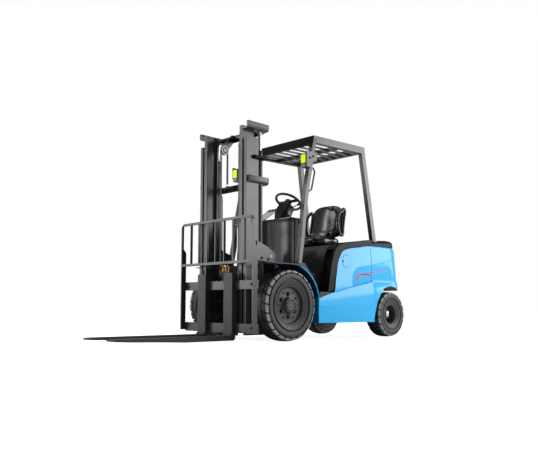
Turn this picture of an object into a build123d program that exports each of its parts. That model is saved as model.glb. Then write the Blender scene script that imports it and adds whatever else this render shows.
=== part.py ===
from build123d import *
import math
import os

# Four-wheel electric counterbalance forklift truck, built as separate pieces.
# X points to the truck's left, -Y to the front, where the forks are, and +Z up.
# Lengths along Y are first laid out from the drive axle, and every piece is then moved by axle_y,
# so that the origin is on the floor in the middle of the truck's box.

# Running gear
wheelbase = 1692.0
front_tyre_radius = 352.0
front_tyre_width = 218.0
front_tyre_outer_x = 595.0
front_bead_radius = 190.0
rear_tyre_radius = 257.0
rear_tyre_width = 200.0
rear_tyre_outer_x = 587.0
rear_bead_radius = 114.0
wheel_seat_gap = 0.3
bearing_clearance = 0.05
spindle_radius = 42.0
rear_spindle_radius = 28.0
brake_drum_radius = 132.0
axle_tube_radius = 62.0
kingpin_offset = 140.0
kingpin_radius = 18.0
pivot_rise = 120.0
pivot_radius = 34.0

# Mast
mast_outer_half_width = 358.0
mast_front_y = -394.0
mast_depth = 164.0
outer_flange_width = 38.0
outer_web = 14.0
mast_flange = 18.0
inner_flange_outer_x = 296.0
inner_flange_width = 43.0
inner_web = 13.0
outer_mast_top = 2018.0
outer_mast_bottom = 62.0
inner_mast_top = 2134.0
inner_mast_bottom = 92.0
lift_stroke = 1500.0
roller_gap = 0.5
cylinder_x = 324.0
cylinder_y = -184.0
lift_barrel_radius = 30.0
lift_rod_radius = 19.0
inner_mast_rear_gap = 6.0
beam_depth = 14.0
wrap_rear_y = -86.0
wrap_arm_thickness = 22.0
sheave_x = 142.0
sheave_y = -250.0
sheave_z = 1976.0
sheave_radius = 50.0
chain_width = 22.0
chain_thickness = 12.0
chain_foot_z = 410.0
chain_anchor_z = 1600.0

# Carriage, backrest and forks
bar_front_y = -435.0
bar_thickness = 34.0
bar_half_width = 540.0
upper_bar_top = 589.0
upper_bar_height = 86.0
lower_bar_bottom = 82.0
lower_bar_height = 92.0
backrest_front_y = -489.0
backrest_top = 1205.0
backrest_plate = 14.0
backrest_bar = 12.0
backrest_depth = 25.0
backrest_bars = 7
fork_width = 125.0
fork_thickness = 48.0
fork_length = 1285.0
fork_floor_gap = 12.0
fork_left_x = 194.0
fork_right_x = -211.0
fork_top = 662.0

# Tilt cylinders
tilt_pin = (-60.0, 840.0)
tilt_root = (330.0, 530.0)
tilt_x = 308.0
tilt_pin_radius = 16.0
tilt_barrel_radius = 30.0
tilt_rod_radius = 16.0
tilt_barrel_length = 340.0
tilt_eye_play = 3.0

# Chassis and body
body_half_width = 603.0
crease_z = 346.0
skirt_bottom = 174.0
skirt_front_y = 397.0
skirt_rear_y = 1345.0
fender_radius = 406.0
fender_sheet = 8.0
step_z = 490.0
hood_z = 1040.0
hood_hinge_y = 1342.0
hood_hinge_z = 1031.0
hood_hinge_radius = 7.7
panel_top_z = 1030.0
counterweight_rear_y = 2020.0
counterweight_top = 1056.0
counterweight_corner = 300.0
flap_centre = (900.0, 828.0)
flap_radius = 70.0
frame_half_width = 256.0
frame_plate = 12.0
battery_half_width = 505.0
battery_front_y = 690.0
battery_rear_y = 1300.0
battery_top = 830.0
fender_inner_x = 376.0
deck_z = 766.0
floor_z = 692.0
floor_sheet = 8.0
floor_rear_y = 625.0
step_well_x = 432.0
floor_half_width = 562.0
tray_bottom = 190.0
rear_arch_radius = 318.0
swing_radius = 360.0

# Overhead guard
guard_half_width = 499.0
guard_rail_width = 50.0
guard_rail_height = 76.0
guard_front_y = 445.0
guard_rear_y = 1330.0
guard_front_z = 2147.0
guard_rear_z = 2168.0

# Cab
steering_centre = (0.0, 580.0, 1508.0)
steering_wheel_radius = 160.0
steering_tilt = 30.0
column_head_radius = 62.0
column_post_radius = 30.0
cowl_top = 1250.0
cowl_front_y = 130.0

front_wheel_x = front_tyre_outer_x - front_tyre_width / 2
rear_wheel_x = rear_tyre_outer_x - rear_tyre_width / 2
kingpin_x = rear_wheel_x - kingpin_offset
front_reach = bar_front_y - fork_thickness - fork_length
axle_y = -(front_reach + counterweight_rear_y) / 2
inner_mast_rear_y = mast_front_y + mast_depth - inner_mast_rear_gap


def across(points, x0, x1):
    """A side outline of (y, z) points carried from x0 to x1."""
    return extrude(Plane.YZ.offset(x0) * make_face(Polyline(*points, close=True)), amount=x1 - x0)


def along(points, y0, y1):
    """A front outline of (x, z) points carried from y0 to y1."""
    return extrude(Plane.XZ.offset(-y0) * make_face(Polyline(*points, close=True)), amount=-(y1 - y0))


def upward(points, z0, z1):
    """A plan outline of (x, y) points carried from z0 to z1."""
    return extrude(Plane.XY.offset(z0) * make_face(Polyline(*points, close=True)), amount=z1 - z0)


def block(x0, x1, y0, y1, z0, z1):
    return upward([(x0, y0), (x1, y0), (x1, y1), (x0, y1)], z0, z1)


def round_x(y, z, radius, x0, x1):
    return Pos((x0 + x1) / 2, y, z) * Rot(0, 90, 0) * Cylinder(radius, abs(x1 - x0))


def round_z(x, y, radius, z0, z1):
    return Pos(x, y, (z0 + z1) / 2) * Cylinder(radius, abs(z1 - z0))


def round_between(start, end, radius):
    """A round bar between two points."""
    line = Vector(*end) - Vector(*start)
    return extrude(Plane(origin=start, z_dir=line) * Circle(radius), amount=line.length)


def turned(points):
    """A ring about the X axis from a section of (x, radius) points."""
    return revolve(make_face(Polyline(*points, close=True)), axis=Axis.X)


def other_side(shape):
    return mirror(shape, Plane.YZ)


def save(name, *shapes):
    solids = [solid for shape in shapes for solid in shape.solids()]
    export_step(Pos(0, axle_y, 0) * Compound(solids), f"parts/{name}.step")


def tyre(radius, width, bead):
    """A solid tyre's section with a crowned tread and bulging walls, turned about X."""
    half = width / 2
    foot = half * 0.74
    shoulder = radius - 14
    section = make_face(
        Wire([
            Line((-foot, bead), (foot, bead)),
            ThreePointArc((foot, bead), (half, (bead + shoulder) / 2), (half * 0.93, shoulder)),
            ThreePointArc((half * 0.93, shoulder), (0, radius), (-half * 0.93, shoulder)),
            ThreePointArc((-half * 0.93, shoulder), (-half, (bead + shoulder) / 2), (-foot, bead)),
        ])
    )
    return revolve(section, axis=Axis.X)


def front_wheel(side):
    place = Pos(side * front_wheel_x, 0, front_tyre_radius)
    rubber = place * tyre(front_tyre_radius, front_tyre_width, front_bead_radius)
    seat = front_bead_radius - wheel_seat_gap
    hub = spindle_radius + bearing_clearance
    rim = turned([
        (-82, seat), (82, seat), (82, seat - 9), (40, seat - 14), (30, seat - 60), (38, 84), (66, 80),
        (72, 62), (72, 0), (60, 0), (60, hub), (-60, hub), (-60, 80), (14, 88), (14, seat - 60),
        (-30, seat - 14), (-82, seat - 9),
    ])
    if side < 0:
        rim = other_side(rim)
    return rubber, place * rim


def rear_wheel(side):
    place = Pos(side * rear_wheel_x, wheelbase, rear_tyre_radius)
    rubber = place * tyre(rear_tyre_radius, rear_tyre_width, rear_bead_radius)
    seat = rear_bead_radius - wheel_seat_gap
    hub = rear_spindle_radius + bearing_clearance
    rim = turned([
        (-74, seat), (74, seat), (74, seat - 8), (-4, seat - 12), (-10, 58), (24, 54), (30, 40),
        (30, 0), (20, 0), (20, hub), (-60, hub), (-60, 50), (-26, 54), (-26, seat - 12),
        (-74, seat - 8),
    ])
    if side < 0:
        rim = other_side(rim)
    return rubber, place * rim


def drive_axle():
    tube = round_x(0, front_tyre_radius, axle_tube_radius, -345, 345)
    spindle_end = front_wheel_x + 59
    spindle = round_x(0, front_tyre_radius, spindle_radius, -spindle_end, spindle_end)
    gearbox = round_x(0, front_tyre_radius, 150, -110, 110)
    motor = round_x(210, front_tyre_radius + 60, 115, -190, 150)
    drum = round_x(0, front_tyre_radius, brake_drum_radius, 340, 371)
    return tube + spindle + gearbox + motor + drum + other_side(drum)


def steer_axle():
    z = rear_tyre_radius
    plan = [
        (kingpin_x - 30, -38), (150, -110), (-150, -110), (-kingpin_x + 30, -38),
        (-kingpin_x + 30, 38), (-150, 110), (150, 110), (kingpin_x - 30, 38),
    ]
    plan = [(x, y + wheelbase) for x, y in plan]
    top = upward(plan, z + 50, z + 68)
    bottom = upward(plan, z - 68, z - 50)
    web = block(-kingpin_x + 90, kingpin_x - 90, wheelbase - 30, wheelbase - 10, z - 50, z + 50)
    ears = top + bottom + web
    for side in (1, -1):
        for low, high in ((z + 50, z + 68), (z - 68, z - 50)):
            ears += round_z(side * kingpin_x, wheelbase, 38, low, high)
            ears += block(
                min(side * (kingpin_x - 40), side * kingpin_x), max(side * (kingpin_x - 40), side * kingpin_x),
                wheelbase - 38, wheelbase + 38, low, high,
            )
    for side in (1, -1):
        ears -= round_z(side * kingpin_x, wheelbase, kingpin_radius + bearing_clearance, 0, 500)
    barrel = round_x(wheelbase + 58, z, 34, -120, 120) - round_x(wheelbase + 58, z, 14.05, -130, 130)
    lug = block(-110, -80, wheelbase - 12, wheelbase + 40, z - 50, z + 50)
    lug -= round_x(wheelbase + 58, z, 30, -130, 130)
    pivot = Pos(0, wheelbase, z + pivot_rise) * Rot(90, 0, 0) * Cylinder(pivot_radius, 216)
    post = block(-34, 34, wheelbase - 80, wheelbase + 80, z + 66, z + pivot_rise)
    return ears + barrel + lug + other_side(lug) + pivot + post


def steer_rod():
    z = rear_tyre_radius
    y = wheelbase + 58
    rod = round_x(y, z, 14, -232, 232)
    eye = round_z(242, y, 20, z - 16, z + 16)
    return rod + eye + other_side(eye)


def steer_knuckle(side):
    z = rear_tyre_radius
    body = round_z(kingpin_x, wheelbase, 34, z - 49.5, z + 49.5)
    pin = round_z(kingpin_x, wheelbase, kingpin_radius, z - 76, z + 76)
    spindle = round_x(wheelbase, z, rear_spindle_radius, kingpin_x, rear_wheel_x + 19)
    flange = round_x(wheelbase, z, 46, kingpin_x + 20, kingpin_x + 72)
    arm = block(kingpin_x - 40, kingpin_x + 12, wheelbase, wheelbase + 74, z + 18, z + 34)
    knuckle = body + pin + spindle + flange + arm
    return knuckle if side > 0 else other_side(knuckle)


def chassis_frame():
    """Two narrow plates that carry the drive axle, and the battery box behind the cross wall."""
    z = front_tyre_radius
    deck_under = deck_z - floor_sheet - wheel_seat_gap
    floor_under = floor_z - floor_sheet - wheel_seat_gap
    wall_y = 418
    narrow = across([
        (-95, z - 85), (95, z - 85), (200, tray_bottom), (wall_y + 2, tray_bottom), (wall_y + 2, floor_under),
        (232, floor_under), (214, deck_under), (-60, deck_under), (-60, z + 200), (-95, z + 85),
    ], frame_half_width - frame_plate, frame_half_width)
    narrow -= round_x(0, z, axle_tube_radius + wheel_seat_gap, 200, 300)
    front = block(-frame_half_width + 2, frame_half_width - 2, -60, -48, z + 210, deck_under)
    outer = battery_half_width + 27
    side = across([
        (wall_y, tray_bottom), (1325, tray_bottom), (1325, 610), (1500, 610), (1500, 800), (765, 800),
        (765, step_z - 14), (wall_y, step_z - 14),
    ], outer - frame_plate, outer)
    tray = block(-outer + 2, outer - 2, wall_y, 1325, tray_bottom, tray_bottom + frame_plate)
    low_wall = block(-outer + 2, outer - 2, wall_y, wall_y + frame_plate, tray_bottom, step_z - 14)
    high_wall = block(-step_well_x + 10, step_well_x - 10, wall_y, wall_y + frame_plate, step_z - 20, floor_under)
    rear_wall = block(-outer + 2, outer - 2, 1313, 1325, tray_bottom, 800)
    pin_boss = round_x(*tilt_root, 34, frame_half_width - frame_plate, frame_half_width + 8)
    half = narrow + side + pin_boss
    whole = half + other_side(half) + front + tray + low_wall + high_wall + rear_wall
    return whole - round_x(*tilt_root, 14 + bearing_clearance, -400, 400)


def battery():
    return block(-battery_half_width, battery_half_width, battery_front_y, battery_rear_y,
                 tray_bottom + frame_plate + wheel_seat_gap, battery_top)


def skirt_top_at(y):
    """The height of the skirt's sloping top edge under the side panel."""
    return 478 + (y - 594) * (622 - 478) / (1350 - 594)


def fender_panels():
    """The blue lower body of one side: the wheel arch band and the creased skirt behind it."""
    z = front_tyre_radius
    arch = Wire([
        Line((-250, z + fender_radius), (0, z + fender_radius)),
        ThreePointArc((0, z + fender_radius),
                      (fender_radius * math.sin(math.radians(38)), z + fender_radius * math.cos(math.radians(38))),
                      (fender_radius * math.sin(math.radians(78)), z + fender_radius * math.cos(math.radians(78)))),
        Line((fender_radius * math.sin(math.radians(78)), z + fender_radius * math.cos(math.radians(78))),
             (skirt_front_y, skirt_bottom)),
        Line((skirt_front_y, skirt_bottom), (skirt_front_y - fender_sheet, skirt_bottom)),
        Line((skirt_front_y - fender_sheet, skirt_bottom),
             ((fender_radius - fender_sheet) * math.sin(math.radians(78)),
              z + (fender_radius - fender_sheet) * math.cos(math.radians(78)))),
        ThreePointArc(((fender_radius - fender_sheet) * math.sin(math.radians(78)),
                       z + (fender_radius - fender_sheet) * math.cos(math.radians(78))),
                      ((fender_radius - fender_sheet) * math.sin(math.radians(38)),
                       z + (fender_radius - fender_sheet) * math.cos(math.radians(38))),
                      (0, z + fender_radius - fender_sheet)),
        Line((0, z + fender_radius - fender_sheet), (-250, z + fender_radius - fender_sheet)),
        Line((-250, z + fender_radius - fender_sheet), (-250, z + fender_radius)),
    ])
    band = extrude(Plane.YZ.offset(fender_inner_x) * make_face(arch), amount=body_half_width - fender_inner_x)
    section = [
        (body_half_width - 14, skirt_bottom), (body_half_width, crease_z), (body_half_width - 26, 640),
        (body_half_width - 46, 640), (body_half_width - 24, crease_z), (body_half_width - 40, skirt_bottom),
    ]
    skirt = along(section, skirt_front_y - 4, skirt_rear_y)
    cut = across([(300, 400), (skirt_front_y, 424), (594, 478), (skirt_rear_y + 5, 622), (skirt_rear_y + 5, 700),
                  (300, 700)], 400, 700)
    return band + (skirt - cut)


def side_panel():
    """The blue upper panel of one side, with the round opening of the charging flap."""
    outline = [
        (672, skirt_top_at(672) + wheel_seat_gap), (1345, skirt_top_at(1345) + wheel_seat_gap), (1345, 1020), (1306, 1022), (965, 973), (840, 940), (758, 826),
    ]
    return side_shell(0, 20) & across(outline, 400, 620)


def trim_band():
    """The dark moulding that runs up the front edge of the side panel and back along its top."""
    outer = [(578, 504), (634, 787), (704, 952), (782, 999), (1307, 1055), (1640, 1056)]
    inner = [(1640, 1036.3), (1350, 1036.3), (1345, 1033), (965, 980), (836, 947), (752, 830), (668, 506), (594, 492)]
    side = across(outer + inner, battery_half_width + 28, body_half_width - 34)
    under = [(y, z - 14) for y, z in reversed(outer[2:5])]
    cap = across(outer[2:] + [(1640, 1036.3), (1350, 1036.3)] + under, 446, body_half_width - 34)
    return side + cap


def counterweight():
    half = body_half_width - 8
    r = counterweight_corner
    rear = counterweight_rear_y
    top = counterweight_top - 20
    front = skirt_rear_y + 5
    plan = make_face(
        Wire([
            Line((-half, front), (half, front)),
            Line((half, front), (half, rear - r)),
            ThreePointArc((half, rear - r), (half - r * (1 - math.sqrt(0.5)), rear - r * (1 - math.sqrt(0.5))),
                          (half - r, rear)),
            Line((half - r, rear), (-half + r, rear)),
            ThreePointArc((-half + r, rear), (-half + r * (1 - math.sqrt(0.5)), rear - r * (1 - math.sqrt(0.5))),
                          (-half, rear - r)),
            Line((-half, rear - r), (-half, front)),
        ])
    )
    mass = extrude(Plane.XY.offset(skirt_bottom + 60) * plan, amount=top - skirt_bottom - 60)
    z = rear_tyre_radius
    mass -= block(-700, 700, front - 10, 1510, 0, 640)
    for side in (1, -1):
        mass -= round_x(wheelbase, z, rear_arch_radius, side * 150, side * 700)
        mass -= round_z(side * kingpin_x, wheelbase, swing_radius, 0, z + rear_tyre_radius + 20)
        mass -= block(min(side * 240, side * 700), max(side * 240, side * 700), wheelbase, rear + 10, 0, 505)
    mass -= block(-200, 200, 1500, wheelbase + 140, 0, z + pivot_rise + pivot_radius + 12)
    mass -= block(-battery_half_width - 30, battery_half_width + 30, front - 10, 1505, 600, 820)
    mass -= block(-40, 40, rear - 80, rear + 10, 340, 400)
    mass -= round_z(0, rear - 40, 16, 200, 460)
    lug = block(-55, 55, -6, 6, z + 74, z + pivot_rise + pivot_radius + 20)
    lug -= Pos(0, 0, z + pivot_rise) * Rot(90, 0, 0) * Cylinder(pivot_radius + bearing_clearance, 40)
    mass += Pos(0, wheelbase - 96, 0) * lug + Pos(0, wheelbase + 96, 0) * lug
    flank = across([(front, 179), (front + 26, 262), (1423, 390), (1497, 486), (1560, 535), (1560, 650),
                    (front, 650)], half - 30, half)
    return mass + flank + other_side(flank)


def floor_plate():
    """The folded floor sheet between the wheel boxes, the wheel boxes and the two step wells."""
    t = floor_sheet
    sheet = [
        (-60, deck_z), (222, deck_z), (240, floor_z), (404, floor_z), (404, floor_z - t), (232, floor_z - t),
        (215, deck_z - t), (-60, deck_z - t),
    ]
    middle = across(sheet, -fender_inner_x, fender_inner_x)
    middle += block(-step_well_x, step_well_x, 400, floor_rear_y, floor_z - t, floor_z)
    slot = block(264, 348, -70, 172, deck_z - 20, deck_z + 10)
    middle -= slot + other_side(slot)
    cover = [(-60, deck_z), (232, deck_z), (412, 560), (412, step_z), (385, 420), (-60, 420)]
    inside = [(-70, deck_z - t), (228, deck_z - t), (404, 556), (404, step_z), (385, 410), (-70, 410)]
    box = across(cover, fender_inner_x - 4, floor_half_width) - across(inside, fender_inner_x - 6, floor_half_width - t)
    box -= round_x(0, front_tyre_radius, fender_radius + wheel_seat_gap, 300, 700)
    box -= block(300, 700, -80, 0, 400, front_tyre_radius + fender_radius + wheel_seat_gap)
    riser = block(step_well_x - t, step_well_x, 404, floor_rear_y, step_z - t, floor_z)
    tread = block(step_well_x - t, 585, 405, 590, step_z - t, step_z)
    lip = across([(412, 431), (590, 481), (590, step_z), (412, step_z)], 583, 599)
    half = box + riser + tread + lip
    return middle + half + other_side(half)


def front_cowl():
    """The curved front panel and the dashboard folded back from its top edge."""
    half = 436
    sag = 70
    skin = 14
    y0 = cowl_front_y
    plan = make_face(Wire([
        ThreePointArc((-half, y0 + sag), (0, y0), (half, y0 + sag)),
        Line((half, y0 + sag), (half, y0 + sag + skin)),
        ThreePointArc((half, y0 + sag + skin), (0, y0 + skin), (-half, y0 + sag + skin)),
        Line((-half, y0 + sag + skin), (-half, y0 + sag)),
    ]))
    panel = extrude(Plane.XY.offset(deck_z + wheel_seat_gap) * plan, amount=cowl_top - deck_z - wheel_seat_gap)
    dash = across([
        (y0 + skin - 2, cowl_top), (330, cowl_top), (372, 1190), (290, 1080), (280, 1086), (358, 1190),
        (324, cowl_top - 12), (y0 + skin - 2, cowl_top - 12),
    ], -half, half)
    front_trim = extrude(Plane.XY.offset(cowl_top - 20) * make_face(Wire([
        ThreePointArc((-half, y0 + sag), (0, y0), (half, y0 + sag)),
        Line((half, y0 + sag), (half, y0 - 50)), Line((half, y0 - 50), (-half, y0 - 50)),
        Line((-half, y0 - 50), (-half, y0 + sag)),
    ])), amount=40)
    column = round_between(column_point(250), column_point(600), column_post_radius + wheel_seat_gap)
    column += round_between(column_point(50), column_point(310), column_head_radius + wheel_seat_gap)
    return panel + (dash - front_trim - column)


def column_point(distance):
    """A point on the steering column's axis, measured down from the wheel's centre."""
    lean = math.radians(steering_tilt)
    x, y, z = steering_centre
    return (x, y - distance * math.sin(lean), z - distance * math.cos(lean))


def steering_column():
    head = round_between(column_point(60), column_point(300), column_head_radius)
    post = round_between(column_point(15.3), column_point(800), column_post_radius)
    foot = block(-50, 50, 158, 214, deck_z + wheel_seat_gap, deck_z + 90)
    return head + post + foot


def control_levers():
    box = block(-250, -75, 300, 326, cowl_top + wheel_seat_gap, cowl_top + 26)
    for i in range(4):
        x = -228 + 44 * i
        box += round_between((x, 313, cowl_top + 15), (x, 372, cowl_top + 150), 6)
        box += Pos(x, 376, cowl_top + 160) * Sphere(17)
    return box


def pedals():
    """Foot pads on bent arms that come up out of the floor."""
    pads = []
    for x in (-170, -40, 90):
        pad = across([(-6, 60), (2, 60), (46, 4), (38, 0)], x - 32, x + 32)
        stem = across([(-4, 0), (10, 0), (24, 24), (14, 30)], x - 8, x + 8)
        pads.append(Pos(0, 300, floor_z + wheel_seat_gap) * (pad + stem))
    return pads


def leg(points, width, depth):
    """A square tube leg through points at its outer front corner, level at both ends."""
    sections = [
        Pos(x - width / 2, y + depth / 2, z) * Rectangle(width, depth)
        for x, y, z in points
    ]
    return loft(sections, ruled=True)


def overhead_guard():
    outer = guard_half_width
    width = guard_rail_width
    inner = outer - width
    rail = across([
        (guard_front_y, guard_front_z), (guard_rear_y, guard_rear_z),
        (guard_rear_y, guard_rear_z - guard_rail_height),
        (guard_front_y + 10, guard_front_z - guard_rail_height)], inner, outer)
    front_pillar = leg([
        (outer + 44, 150, deck_z + wheel_seat_gap), (outer + 38, 200, 1020), (outer + 30, 255, 1375),
        (outer + 26, 300, 1600), (outer, guard_front_y, guard_front_z - 30)], width, 48)
    rear_pillar = leg([
        (outer + 20, 1440, counterweight_top + wheel_seat_gap), (outer, guard_rear_y - 62, guard_rear_z - 40)],
        width, 62)
    frame = rail + front_pillar + rear_pillar
    frame += other_side(frame)
    frame += block(-inner - 2, inner + 2, guard_front_y, guard_front_y + 40, guard_front_z - 86, guard_front_z)
    frame += block(-inner - 2, inner + 2, guard_rear_y - 40, guard_rear_y, guard_rear_z - 70, guard_rear_z)
    bars = 8
    for i in range(bars):
        x = -inner + (i + 0.5) * 2 * inner / bars
        frame += across([
            (guard_front_y + 20, guard_front_z - 40), (guard_rear_y - 20, guard_rear_z - 40),
            (guard_rear_y - 20, guard_rear_z - 52), (guard_front_y + 20, guard_front_z - 52)], x - 20, x + 20)
    middle = (guard_front_y + guard_rear_y) / 2
    frame += block(-inner - 2, inner + 2, middle - 15, middle + 15, guard_front_z - 75, guard_front_z - 30)
    grip_x = outer - 20
    grip = [(grip_x, 390, 1795), (grip_x, 455, 1795), (grip_x, 478, 1760), (grip_x, 425, 1565),
            (grip_x, 372, 1535), (grip_x, 330, 1535)]
    for start, end in zip(grip, grip[1:]):
        frame += round_between(start, end, 9) + Pos(*end) * Sphere(9)
    bracket = across([(246, 1935), (404, 1935), (412, 1900), (400, 1850), (246, 1800)], 568, 574)
    bracket += block(outer, 574, 386, 396, 1860, 1925)
    return frame + bracket + other_side(bracket)


def head_lamp(side):
    """A lamp housing in front of the guard's pillar, and its signal lens."""
    housing = block(488, 567.7, 250, 320, 1764, 1908)
    lens = block(494, 562, 240, 249.7, 1812, 1904)
    if side < 0:
        return other_side(housing), other_side(lens)
    return housing, lens


def rear_pillar_y(z):
    """The rear face of the guard's rear pillar at one height."""
    low = counterweight_top + wheel_seat_gap
    high = guard_rear_z - 40
    return 1502 + (guard_rear_y - 1502) * (z - low) / (high - low)


def tail_lamp():
    low, high = 1500, 1640
    y0 = rear_pillar_y(low) + wheel_seat_gap
    y1 = rear_pillar_y(high) + wheel_seat_gap
    return across([(y0, low), (y0 + 22, low), (y1 + 22, high), (y1, high)], 462, 502)


def outer_mast():
    """Two channels open towards each other, tied by cross plates, with the arms that clasp the axle."""
    outer = mast_outer_half_width
    rear = mast_front_y + mast_depth
    edge = outer - outer_flange_width
    z = front_tyre_radius
    section = [
        (edge, mast_front_y), (outer, mast_front_y), (outer, rear), (edge, rear), (edge, rear - mast_flange),
        (outer - outer_web, rear - mast_flange), (outer - outer_web, mast_front_y + mast_flange),
        (edge, mast_front_y + mast_flange),
    ]
    channel = upward(section, outer_mast_bottom, outer_mast_top)
    arm = across([
        (rear, z + 130), (rear, z - 130), (20, z - 92), (88, z - 44), (88, z + 44), (20, z + 92)], 262, 284)
    arm -= round_x(0, z, axle_tube_radius + bearing_clearance, 200, 400)
    arm_web = block(262, outer, rear, rear + 14, z - 130, z + 130)
    gusset = across([
        (rear - 26, 985), (rear - 26, 790), (-90, 780), (10, 786), (10, 862), (-110, 930)], outer, outer + 11)
    tab = across([(rear, 960), (rear, 780), (-90, 780), (-20, 800), (-20, 880), (-90, 900)], 264, 272)
    tab_web = block(264, outer, rear, rear + 14, 790, 950)
    foot = block(290, outer, rear, cylinder_y + 36, outer_mast_bottom, 76)
    wrap_z0, wrap_z1 = 1552, 1624
    wrap_arm = block(outer, outer + wrap_arm_thickness, -379, wrap_rear_y, wrap_z0, wrap_z1)
    clamp = round_z(cylinder_x, cylinder_y, lift_barrel_radius + 14, 1800, 1836)
    clamp += block(edge, outer - outer_web, rear, cylinder_y - 30, 1800, 1836)
    clamp -= round_z(cylinder_x, cylinder_y, lift_barrel_radius + wheel_seat_gap, 1700, 1900)
    anchor = block(sheave_x - 14, sheave_x + 14, sheave_y + sheave_radius - 14, wrap_rear_y - 10, 1584, 1600)
    half = channel + arm + arm_web + gusset + tab + tab_web + foot + wrap_arm + clamp + anchor
    half -= round_x(*tilt_pin, tilt_pin_radius + bearing_clearance, 200, 400)
    reach = outer + wrap_arm_thickness
    whole = half + other_side(half)
    whole += block(-reach, reach, wrap_rear_y - beam_depth, wrap_rear_y, wrap_z0, wrap_z1)
    whole += block(-outer + 2, outer - 2, rear, rear + 14, 80, 200)
    whole += block(-outer + 2, outer - 2, rear, rear + 14, 560, 660)
    return whole


def lift_barrel():
    barrel = round_z(cylinder_x, cylinder_y, lift_barrel_radius, 76, 1880)
    return barrel - round_z(cylinder_x, cylinder_y, lift_rod_radius + bearing_clearance, 110, 1890)


def lift_rod():
    return round_z(cylinder_x, cylinder_y, lift_rod_radius, 130, 2096)


def inner_mast():
    """The sliding channels, their head beam that stands on the lift rods, and the chain pulleys."""
    outer = inner_flange_outer_x
    rear = inner_mast_rear_y
    edge = outer - inner_flange_width
    section = [
        (edge, mast_front_y), (outer, mast_front_y), (outer, rear), (edge, rear), (edge, rear - mast_flange),
        (outer - inner_web, rear - mast_flange), (outer - inner_web, mast_front_y + mast_flange),
        (edge, mast_front_y + mast_flange),
    ]
    channel = upward(section, inner_mast_bottom, inner_mast_top)
    roller_radius = (mast_depth - 2 * mast_flange) / 2 - roller_gap
    roller = round_x(mast_front_y + mast_depth / 2, 200, roller_radius, outer, mast_outer_half_width - outer_web - 6)
    arm_x = mast_outer_half_width
    wrap_z0, wrap_z1 = 2096, 2168
    wrap_arm = block(arm_x, arm_x + wrap_arm_thickness, mast_front_y, wrap_rear_y, wrap_z0, wrap_z1)
    head = block(outer - inner_web, arm_x + 2, mast_front_y, wrap_rear_y, wrap_z0, wrap_z0 + 20)
    hanger = across([
        (-275, sheave_z - 34), (-225, sheave_z - 34), (-98, 2096), (-98, 2168), (-130, 2168), (-275, 2020),
    ], sheave_x + 16, sheave_x + 28)
    pin = round_x(sheave_y, sheave_z, 14, sheave_x - 14, sheave_x + 20)
    wheel = round_x(sheave_y, sheave_z, sheave_radius - chain_thickness, sheave_x - 11, sheave_x + 11)
    half = channel + roller + wrap_arm + head + hanger + pin + wheel
    reach = arm_x + wrap_arm_thickness
    whole = half + other_side(half)
    whole += block(-reach, reach, wrap_rear_y - beam_depth, wrap_rear_y, wrap_z0, wrap_z1)
    whole += block(-outer + 2, outer - 2, rear - 12, rear, 100, 190)
    return whole


def chain_turn():
    """The half turn of a chain over its pulley."""
    half = chain_width / 2
    turn = round_x(sheave_y, sheave_z, sheave_radius, sheave_x - half, sheave_x + half)
    turn -= round_x(sheave_y, sheave_z, sheave_radius - chain_thickness + wheel_seat_gap, 0, 300)
    return turn - block(0, 300, sheave_y - 100, sheave_y + 100, sheave_z - 100, sheave_z)


def lift_chains():
    """The chains' front runs, from the pulleys down to the carriage."""
    y = sheave_y - sheave_radius
    half = chain_width / 2
    run = block(sheave_x - half, sheave_x + half, y, y + chain_thickness, chain_foot_z, sheave_z)
    return run, other_side(run)


def anchor_chains():
    """The rear runs, from the pulleys down to their anchors on the outer mast."""
    y = sheave_y + sheave_radius
    run = block(sheave_x - chain_width / 2, sheave_x + chain_width / 2, y - chain_thickness, y, chain_anchor_z, sheave_z)
    return run, other_side(run)


def carriage():
    front = bar_front_y
    back = bar_front_y + bar_thickness
    rear = inner_mast_rear_y
    upper = block(-bar_half_width, bar_half_width, front, back, upper_bar_top - upper_bar_height, upper_bar_top)
    lower = block(-bar_half_width, bar_half_width, front, back, lower_bar_bottom, lower_bar_bottom + lower_bar_height)
    plate = block(222, 244, back - 2, rear - 26, lower_bar_bottom + 6, upper_bar_top - 2)
    roller_radius = (rear - mast_front_y - 2 * mast_flange) / 2 - roller_gap
    middle = (mast_front_y + rear) / 2
    half = plate
    for z in (170, 520):
        half += round_x(middle, z, roller_radius, 242, inner_flange_outer_x - inner_web - 6)
    anchor_y = sheave_y - sheave_radius
    half += block(120, 224, anchor_y - 6, anchor_y + 22, chain_foot_z - 30, chain_foot_z)
    return upper + lower + half + other_side(half)


def load_backrest():
    x1 = bar_half_width + backrest_plate
    front = backrest_front_y
    plate = across([
        (front, 95), (front + 58, 95), (front + 58, 900), (front + backrest_depth, 940),
        (front + backrest_depth, backrest_top), (front, backrest_top)], bar_half_width, x1)
    frame = plate + other_side(plate)
    frame += block(-x1, x1, front, front + backrest_depth, backrest_top - backrest_depth, backrest_top)
    frame += block(-x1, x1, front, front + backrest_depth, 752, 778)
    pitch = 2 * (bar_half_width - backrest_plate) / (backrest_bars + 1)
    for i in range(backrest_bars):
        x = (i - (backrest_bars - 1) / 2) * pitch
        frame += block(x - backrest_bar / 2, x + backrest_bar / 2, front, front + backrest_depth, 760, backrest_top - 4)
    return frame


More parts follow.
